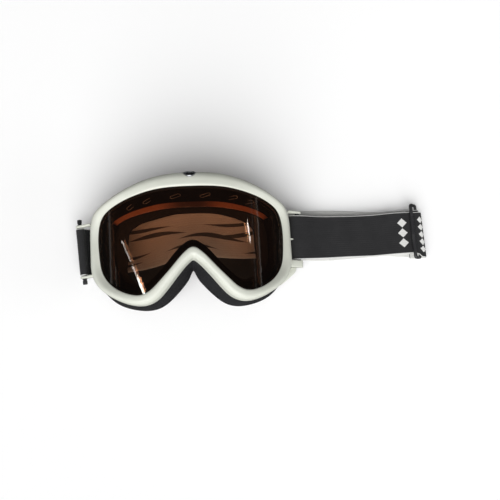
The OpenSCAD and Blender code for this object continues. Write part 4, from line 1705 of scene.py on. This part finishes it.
@dataclass
class Strap:
    """The strap's stretches, its stitching and the slider that sets its length.

    The starts say how far along the whole webbing each stretch begins, and fold_start where its
    fold turns. The two lists of places are the lower layer's middle line on the table.
    """

    goggles: Goggles
    webbing: Webbing = field(default_factory=Webbing)
    tab_l: float = 34.0
    loop_foot: float = 8.5
    under_z: float = 0.92
    tail_z: float = 2.7
    top_z: float = 8.7
    leg_l: float = 30.0
    grip_l: float = 9.0
    grip_z: float = 4.75
    rail: tuple[float, float] = (-6.5, 11.3)
    rail_r: float = 1.5
    grip_r: float = 1.2
    slider_half: float = 23.6
    slider_y: float = 3.9
    slider_turn: float = -1.2
    slider_back: float = 0.4
    slack: float = 4.2
    under_start: float = 68.0
    loose_start: float = 237.0
    fold_start: float = 300.0
    tail_start: float = 455.0
    grip_start: float = 529.0
    under_xy: tuple[tuple[float, float], ...] = (
        (-83.5, 3.06), (-46, 6), (-28, 10.5), (-8, 15),
        (12, 16), (32, 13.5), (50, 12.2), (85.5, 12.8),
    )
    free_xy: tuple[tuple[float, float], ...] = ((110, 12.6), (140, 11.0), (170, 8.8), (197, 6.4))

    @staticmethod
    def upright(path: np.ndarray) -> tuple[np.ndarray, np.ndarray]:
        """Returns a side view's points in space, and the direction of the width at each."""
        route = np.column_stack([path[:, 0], np.zeros(len(path)), path[:, 1]])
        return route, np.tile([0.0, 1.0, 0.0], (len(path), 1))

    def leaning(self, x: np.ndarray, first: float, final: float) -> np.ndarray:
        """Returns how far the band leans at each X, from nothing at the first to the fold's lean."""
        return np.interp(x, [first, final], [0, 1]) * math.tan(math.radians(self.goggles.fold_lean))

    def on_slider(self, points: np.ndarray) -> np.ndarray:
        """Returns points of the slider's own frame in the row frame."""
        return self.goggles.fold(points + np.array([-self.slider_back, self.slider_y, 0.0]))

    def wrap_r(self) -> float:
        """Returns the radius of the webbing's middle round a bar."""
        g = self.goggles
        return g.bar_r + g.bar_clear + g.strap_t / 2

    def left_loop(self) -> None:
        """Builds the loop round the left bar, with the end that is sewn down."""
        r, z = self.wrap_r(), self.goggles.left.z
        low = self.tail_z - 0.3
        path = np.concatenate([
            [[-self.tab_l, low], [-20.0, low]],
            flow((-self.loop_foot - 1, low), (-r, z - r)),
            arc((0, z), r, 180, 0),
            flow((r, z - r), (-self.loop_foot, self.under_z)),
        ])
        route, across = self.upright(relaxed(path, 0.9, 0.8))
        thing = self.webbing.band("strap_loop_left", route, across, Outer.ABOVE, self.goggles.left.put)
        mount(thing, "goggles", "webbing", "strap_left_loop")

    def under(self) -> None:
        """Builds the stretch under the goggles and the free one up to the fold."""
        route = np.array(self.under_xy + self.free_xy)
        smooth = relaxed(self.through(route), 2.5, 6)
        heights = np.full(len(smooth), self.under_z)
        split = int(np.argmin(abs(smooth[:, 0] - 85.5)))
        whole = np.column_stack([smooth, heights])
        ahead = unit(np.gradient(whole, axis=0))
        across = np.cross(FRONT, ahead)
        lean = self.leaning(smooth[:, 0], 140, 197)
        fixed = self.webbing.band(
            "strap_under_goggles", whole[: split + 1], across[: split + 1], Outer.BELOW, np.asarray,
            self.under_start,
        )
        mount(fixed, "goggles", "webbing", "strap_under")
        free = self.webbing.band(
            "strap_under_loose", whole[split:], across[split:], Outer.BELOW, np.asarray,
            self.loose_start, lean=lean[split:],
        )
        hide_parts("strap_under_free")
        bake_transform(free)
        LOG.info("%s: %d faces, goggles to strap", free.name, len(free.data.polygons))

    @staticmethod
    def through(rows: np.ndarray) -> np.ndarray:
        """Returns a smooth open curve through points of a plane."""
        ends = np.concatenate([[2 * rows[0] - rows[1]], rows, [2 * rows[-1] - rows[-2]]])
        t = np.linspace(1, len(rows), 16 * len(rows), endpoint=False)
        i = np.minimum(np.floor(t).astype(int), len(rows) - 1)
        curve = spline([ends[i + k] for k in (-1, 0, 1, 2)], (t - i)[:, None])
        return curve[t <= len(rows)]

    def run(self) -> None:
        """Builds the fold, the visible top stretch and the loop round the right bar, as one band."""
        g = self.goggles
        r, z, reach = self.wrap_r(), g.right.z, g.fold_reach
        fold_r = (self.top_z - self.under_z) / 2
        path = np.concatenate([
            [[reach - 9, self.under_z], [reach - 4, self.under_z]],
            arc((reach, self.under_z + fold_r), fold_r, -90, 90),
            [[reach - 10, self.top_z], [self.leg_l, self.top_z]],
            flow((self.leg_l - 2, self.top_z), (-self.slack, z + r)),
            arc((-self.slack, z), r, 90, 270),
            flow((-self.slack, z - r), (self.leg_l - 6, self.tail_z)),
            [[self.leg_l, self.tail_z]],
        ])
        path = relaxed(path, 1.0, 1.0)
        route, across = self.upright(path)
        run = travelled(path)
        turn = run[int(np.argmax(path[:, 0]))]
        bar = run[int(np.argmin(path[:, 0]))]
        # Each key is a place along the run, and the width and the shift across there.
        keys = [
            (turn, 41.6, 0.6), (turn + 6, 41.2, 0.8), (turn + 8.5, 38.4, 2.0), (turn + 13, 37.3, 2.8),
            (turn + reach - 84, 37.6, 2.3), (turn + reach - 62, 37.2, 0.8), (turn + reach - 40, 37.0, 0.5),
            (turn + reach - 17, 37.8, 0.3), (bar - 6, 38.8, -0.4), (bar, 39.2, -0.3), (run[-1], 39.6, 0.0),
        ]
        at, wide, shift = (np.array(column) for column in zip(*keys))
        widths, shifts = np.interp(run, at, wide), np.interp(run, at, shift)
        lean = self.leaning(path[:, 0], 70, reach - 5)
        cup = 0.4 * np.interp(run, [turn + 6, turn + 24, turn + 42, turn + 60], [0, 1, 1, 0])
        thing = self.webbing.band(
            "strap_top_run", route, across, Outer.BELOW, g.right.put,
            self.fold_start - turn, widths, shifts, lean, cup,
        )
        mount(thing, "strap", "webbing", "strap_right_loop", "strap_top", "strap_fold")

    def tail(self) -> None:
        """Builds the stretch between the layers, and its end that is sewn round the slider's bar."""
        g = self.goggles
        reach = g.fold_reach - self.grip_l - self.slider_back
        level = np.array([[self.leg_l, self.tail_z], [reach, self.tail_z]])
        route, across = self.upright(relaxed(level, 2.5, 1))
        lean = self.leaning(route[:, 0], 60, reach)
        shifts = np.interp(route[:, 0], [self.leg_l, reach], [0, self.slider_y])
        thing = self.webbing.band(
            "strap_tail_band", route, across, Outer.BELOW, g.right.put,
            self.tail_start, shifts=shifts, lean=lean,
        )
        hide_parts("strap_tail")
        ends = [g.right.put(np.array([[x, 0.0, self.tail_z]]))[0] * MM for x in (self.leg_l, reach)]
        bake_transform(thing)
        LOG.info("%s: %d faces, strap to adjuster", thing.name, len(thing.data.polygons))
        r = self.grip_r + 0.05 + g.strap_t / 2
        rest = self.tail_z + g.strap_t + 0.15
        path = np.concatenate([
            [[-self.grip_l, self.tail_z], [-4.0, self.tail_z]],
            arc((0, self.grip_z), r, -90, 90),
            flow((-1, self.grip_z + r), (-self.grip_l + 1, rest)),
            [[-self.grip_l, rest]],
        ])
        route, across = self.upright(relaxed(path, 0.8, 0.5))
        grip = self.webbing.band(
            "strap_tail_grip", route, across, Outer.BELOW, self.on_slider,
            self.grip_start, self.webbing.width - 0.6,
        )
        mount(grip, "adjuster", "webbing", "strap_tail_end")

    def stitches(
        self, name: str, body: str, node: str, columns: Sequence[float], z: float, place: Placer
    ) -> None:
        """Sews rows of zigzag stitches across the webbing, with Geometry Nodes.

        Args:
            name: The stitching's name.
            body: The body that it moves with.
            node: The CAD node that it stands for.
            columns: The place of each row along the webbing.
            z: The height of the webbing's face.
            place: Puts the points in their place.
        """
        y = np.linspace(-0.46, 0.46, 27) * self.goggles.strap_w
        spots = np.array([[x, v, z + 0.08] for x in columns for v in y])
        turn = np.array([35.0 if k % 2 else -35.0 for _ in columns for k in range(len(y))])
        heading = place(np.array([[0.0, 1.0, 0.0]]))[0] - place(np.zeros((1, 3)))[0]
        lay = math.atan2(heading[1], heading[0])
        turns = np.column_stack([np.zeros((len(turn), 2)), lay + np.radians(turn)])
        tree = Tree("stitch_rows")
        length = tree.input("Stitch Length", "Float", 2.0 * MM)
        width = tree.input("Thread Width", "Float", 0.55 * MM)
        material = tree.input("Material", "Material", Thread().material())
        bead = tree.node("MeshUVSphere", {"Segments": 8, "Rings": 6, "Radius": 0.5})
        scale = tree.node("ShaderNodeCombineXYZ", {0: length, 1: width, 2: width})
        sewn = tree.scatter(tree.entry.outputs[0], bead.outputs[0], Scale=scale.outputs[0])
        tree.finish(sewn, material)
        mount(tree.run(markers(name, place(spots), turns), 80), body, "thread", node)

    def slider(self) -> None:
        """Builds the slider: a rail over the strap, a sewn bar under it, and the links at their ends."""
        half, soft = self.slider_half, 2.0
        low = np.array([0.0, self.slider_y, self.grip_z])
        high = np.array([self.rail[0], self.slider_y, self.rail[1]])
        across = np.array([0.0, 1.0, 0.0])
        wide = across * half
        corners = np.array([low - wide, low + wide, high + wide, high - wide])
        loop = rounded(corners[None], [soft] * 4, 9)[0]
        fine = []
        for k, point in enumerate(loop):
            after = loop[(k + 1) % len(loop)]
            count = max(int(np.linalg.norm(after - point) / 1.2), 1)
            fine += [point + (after - point) * j / count for j in range(count)]
        loop = np.array(fine)
        share = np.clip(((loop - low) @ (high - low)) / ((high - low) @ (high - low)), 0, 1)
        radius = self.grip_r + (self.rail_r - self.grip_r) * share
        ahead = unit(np.roll(loop, -1, axis=0) - np.roll(loop, 1, axis=0))
        normal = unit(np.cross(across, high - low))
        beside = np.cross(ahead, normal)
        sides = 20
        angle = np.linspace(0, 2 * math.pi, sides, endpoint=False)[None, :, None]
        round_it = np.cos(angle) * beside[:, None, :] + np.sin(angle) * normal[None, None, :]
        points = loop[:, None, :] + radius[:, None, None] * round_it
        faces = grid_faces(len(loop), sides, True).tolist()
        points = turned(points.reshape(-1, 3), "Z", self.slider_turn) - np.array([self.slider_back, 0, 0])
        thing = solid("slider_frame", self.goggles.fold(points), faces)
        rail = Plastic("slider_plastic", (0.024, 0.024, 0.026, 1), (0.05, 0.05, 0.052, 1), (0.26, 0.4))
        thing.data.materials.append(rail.material())
        mount(thing, "adjuster", "bar_plastic", "slider")

    def build(self) -> None:
        """Builds every stretch, the stitching and the slider."""
        self.left_loop()
        self.under()
        self.run()
        self.tail()
        rows = (-self.tab_l + 2, -self.tab_l + 6)
        put = self.goggles.left.put
        self.stitches("left_bar_tack", "goggles", "strap_left_stitching", rows, 3.2, put)
        self.stitches(
            "tail_bar_tack", "adjuster", "strap_tail_stitching", (-8.4,), 5.45, self.on_slider
        )
        self.slider()


@dataclass(frozen=True)
class Table:
    """The pale table top, which keeps the shadow; its colour is painted shade where it is seen through the
    lens, and painted dark in reflections.
    """

    name: str = "table_top"
    colour: Colour = (0.975, 0.975, 0.975, 1)
    # Painted shade: the colour of the table seen through the lens and in reflections.
    behind: Colour = (0.03, 0.03, 0.03, 1)

    def material(self) -> Material:
        """Returns the finish as a material."""
        s = Shader(self.name)
        here = s.place()
        grain = s.noise(here, 300, 3)
        path = s.node("LightPath").outputs
        # Painted shade: dark where seen through the lens, and a painted dark reflection for glossy rays.
        painted_dark_mask = s.math("MAXIMUM", s.step(path["Transparent Depth"], 0.5, 0.1), path["Is Glossy Ray"])
        colour = s.mix(painted_dark_mask, self.colour, self.behind)
        return s.principled({
            "Base Color": colour,
            "Roughness": s.between(grain, 0.7, 0.85),
            "Specular IOR Level": 0.1,
        })


@dataclass
class Studio:
    """The table, the lamps and the camera of the photograph.

    A fill is its place along X and its power. A streak is where it starts and ends as shares of
    the long lamp, its width and how bright it looks. The key's spread is its width in degrees.
    """

    target: tuple[float, float, float] = (51.25, 0.0, 0.0)
    distance: float = 600.0
    tilt: float = 7.0
    swing: float = -5.75
    roll: float = 3.26
    lens: float = 48.8
    room: float = 0.13
    room_mirrored: float = 0.03
    key: float = 0.825
    key_rise: float = 47.0
    key_spread: float = 72.0
    key_aside: float = -0.16
    fills: tuple[tuple[float, float], ...] = ((1000, 0.2), (-1000, 0.1))
    fill_side: float = 500.0
    streaks: tuple[tuple[float, float, float, float], ...] = (
        (0.0, 0.40, 8, 7.0), (0.47, 0.62, 11, 10.0), (0.66, 1.0, 17, 22.0),
    )

    def floor(self) -> None:
        """Lays the table top under the goggles."""
        side = 3000.0
        corners = np.array([[-side, -side, 0], [side, -side, 0], [side, side, 0], [-side, side, 0]]) * MM
        mesh = bpy.data.meshes.new("floor")
        mesh.from_pydata(corners.tolist(), [], [[0, 1, 2, 3]])
        mesh.materials.append(Table().material())
        thing = linked("floor", mesh)

    def lamp(self, name: str, size: Sequence[float], radiance: float, place: Vector, turn: Matrix) -> Piece:
        """Hangs a rectangular lamp.

        Args:
            name: The lamp's name.
            size: Its width and height.
            radiance: How bright it looks, where 1 is white.
            place: Where it hangs.
            turn: Which way it looks.

        Returns:
            The lamp.
        """
        light = bpy.data.lights.new(name, "AREA")
        light.shape = "RECTANGLE"
        light.size, light.size_y = size[0] * MM, size[1] * MM
        light.energy = radiance * math.pi * light.size * light.size_y
        thing = linked(name, light)
        thing.matrix_world = Matrix.Translation(place * MM) @ turn.to_4x4()
        return thing

    def strip(
        self, name: str, start: Sequence[float], end: Sequence[float], width: float, radiance: float
    ) -> None:
        """Hangs a narrow lamp that only shows as a streak on glossy surfaces.

        Args:
            name: The lamp's name.
            start: One end of it.
            end: The other end.
            width: Its width.
            radiance: How bright it looks, where 1 is white.
        """
        along = Vector(end) - Vector(start)
        middle = (Vector(end) + Vector(start)) / 2
        side = middle.normalized().cross(along).normalized()
        turn = Matrix((along.normalized(), side, along.normalized().cross(side))).transposed()
        self.lamp(name, (along.length, width), radiance, middle, turn).visible_diffuse = False

    def lamps(self) -> None:
        """Hangs the soft lamps and sets the plain light of the room."""
        world = bpy.data.worlds.new("room")
        bpy.context.scene.world = world
        world.use_nodes = True
        nodes, links = world.node_tree.nodes, world.node_tree.links
        back = nodes["Background"]
        back.inputs["Color"].default_value = (1, 1, 1, 1)
        path = nodes.new("ShaderNodeLightPath")
        strength = self.room
        for ray, value in (("Is Glossy Ray", self.room_mirrored), ("Is Camera Ray", 1.0)):
            level = nodes.new("ShaderNodeMix")
            level.inputs[3].default_value = value
            if isinstance(strength, float):
                level.inputs[2].default_value = strength
            else:
                links.new(strength, level.inputs[2])
            links.new(path.outputs[ray], level.inputs[0])
            strength = level.outputs[0]
        links.new(strength, back.inputs["Strength"])
        light = bpy.data.lights.new("key", "SUN")
        light.angle = math.radians(self.key_spread)
        rise = math.radians(self.key_rise)
        light.energy = self.key * math.pi / math.sin(rise)
        away = Vector((self.key_aside, -math.cos(rise), math.sin(rise)))
        linked("key", light).matrix_world = away.to_track_quat("Z", "Y").to_matrix().to_4x4()
        top_end, low_end = Vector((-1480, 221, 469)), Vector((-1160, 49, 1050))
        for k, (first, final, width, radiance) in enumerate(self.streaks):
            start, end = (tuple(top_end.lerp(low_end, share)) for share in (first, final))
            self.strip(f"streak_long_{k}", start, end, width, radiance)
        self.strip("streak_short", (1314, 262, 817), (1352, 200, 765), 19, 18.0)
        self.strip("band_right", (1440, -260, 500), (1440, 600, 500), 40, 0.8)
        self.strip("band_right_edge", (1440, -120, 700), (1440, 500, 700), 18, 0.45)
        self.strip("band_left", (-1490, -300, 60), (-1490, 600, 60), 60, 0.5)
        self.strip("band_left_edge", (-1470, -200, -120), (-1470, 500, -120), 50, 0.45)
        self.strip("band_left_thin", (-1480, -260, 230), (-1480, 140, 230), 14, 0.9)
        for x, share in self.fills:
            place = Vector((x, -200, 380))
            turn = (place - Vector((30, 0, 20))).to_track_quat("Z", "Y").to_matrix()
            radiance = share * math.pi / self.fill_side**2 / MM**2
            size = (self.fill_side, self.fill_side)
            self.lamp("fill", size, radiance, place, turn).visible_glossy = False

    def camera(self) -> None:
        """Stands the camera where the photograph was taken from."""
        a, b, c = (math.radians(x) for x in (self.tilt, self.swing, self.roll))
        back = Vector((math.sin(b), -math.sin(a) * math.cos(b), math.cos(a) * math.cos(b)))
        up = Vector((0, 1, 0))
        up = (up - back * up.dot(back)).normalized()
        right = up.cross(back)
        across = right * math.cos(c) - up * math.sin(c)
        upright = right * math.sin(c) + up * math.cos(c)
        data = bpy.data.cameras.new("camera")
        data.lens, data.sensor_width = self.lens, 36.0
        thing = linked("camera", data)
        turn = Matrix((across, upright, back)).transposed().to_4x4()
        thing.matrix_world = Matrix.Translation((Vector(self.target) + back * self.distance) * MM) @ turn
        bpy.context.scene.camera = thing

    def build(self) -> None:
        """Sets up the table, the lamps, the camera and the view."""
        self.floor()
        self.lamps()
        self.camera()
        bpy.context.scene.view_settings.view_transform = "Standard"


def main() -> None:
    """Builds the goggles piece by piece."""
    logging.basicConfig(level=logging.INFO, format="%(message)s")
    goggles = Goggles()
    parts = [kind(goggles) for kind in (Frame, Lens, FacePadding, Badge, Bars, Strap)]
    for part in [*parts, Studio()]:
        LOG.info("building %s", type(part).__name__)
        part.build()


if __name__ == "__main__":
    main()
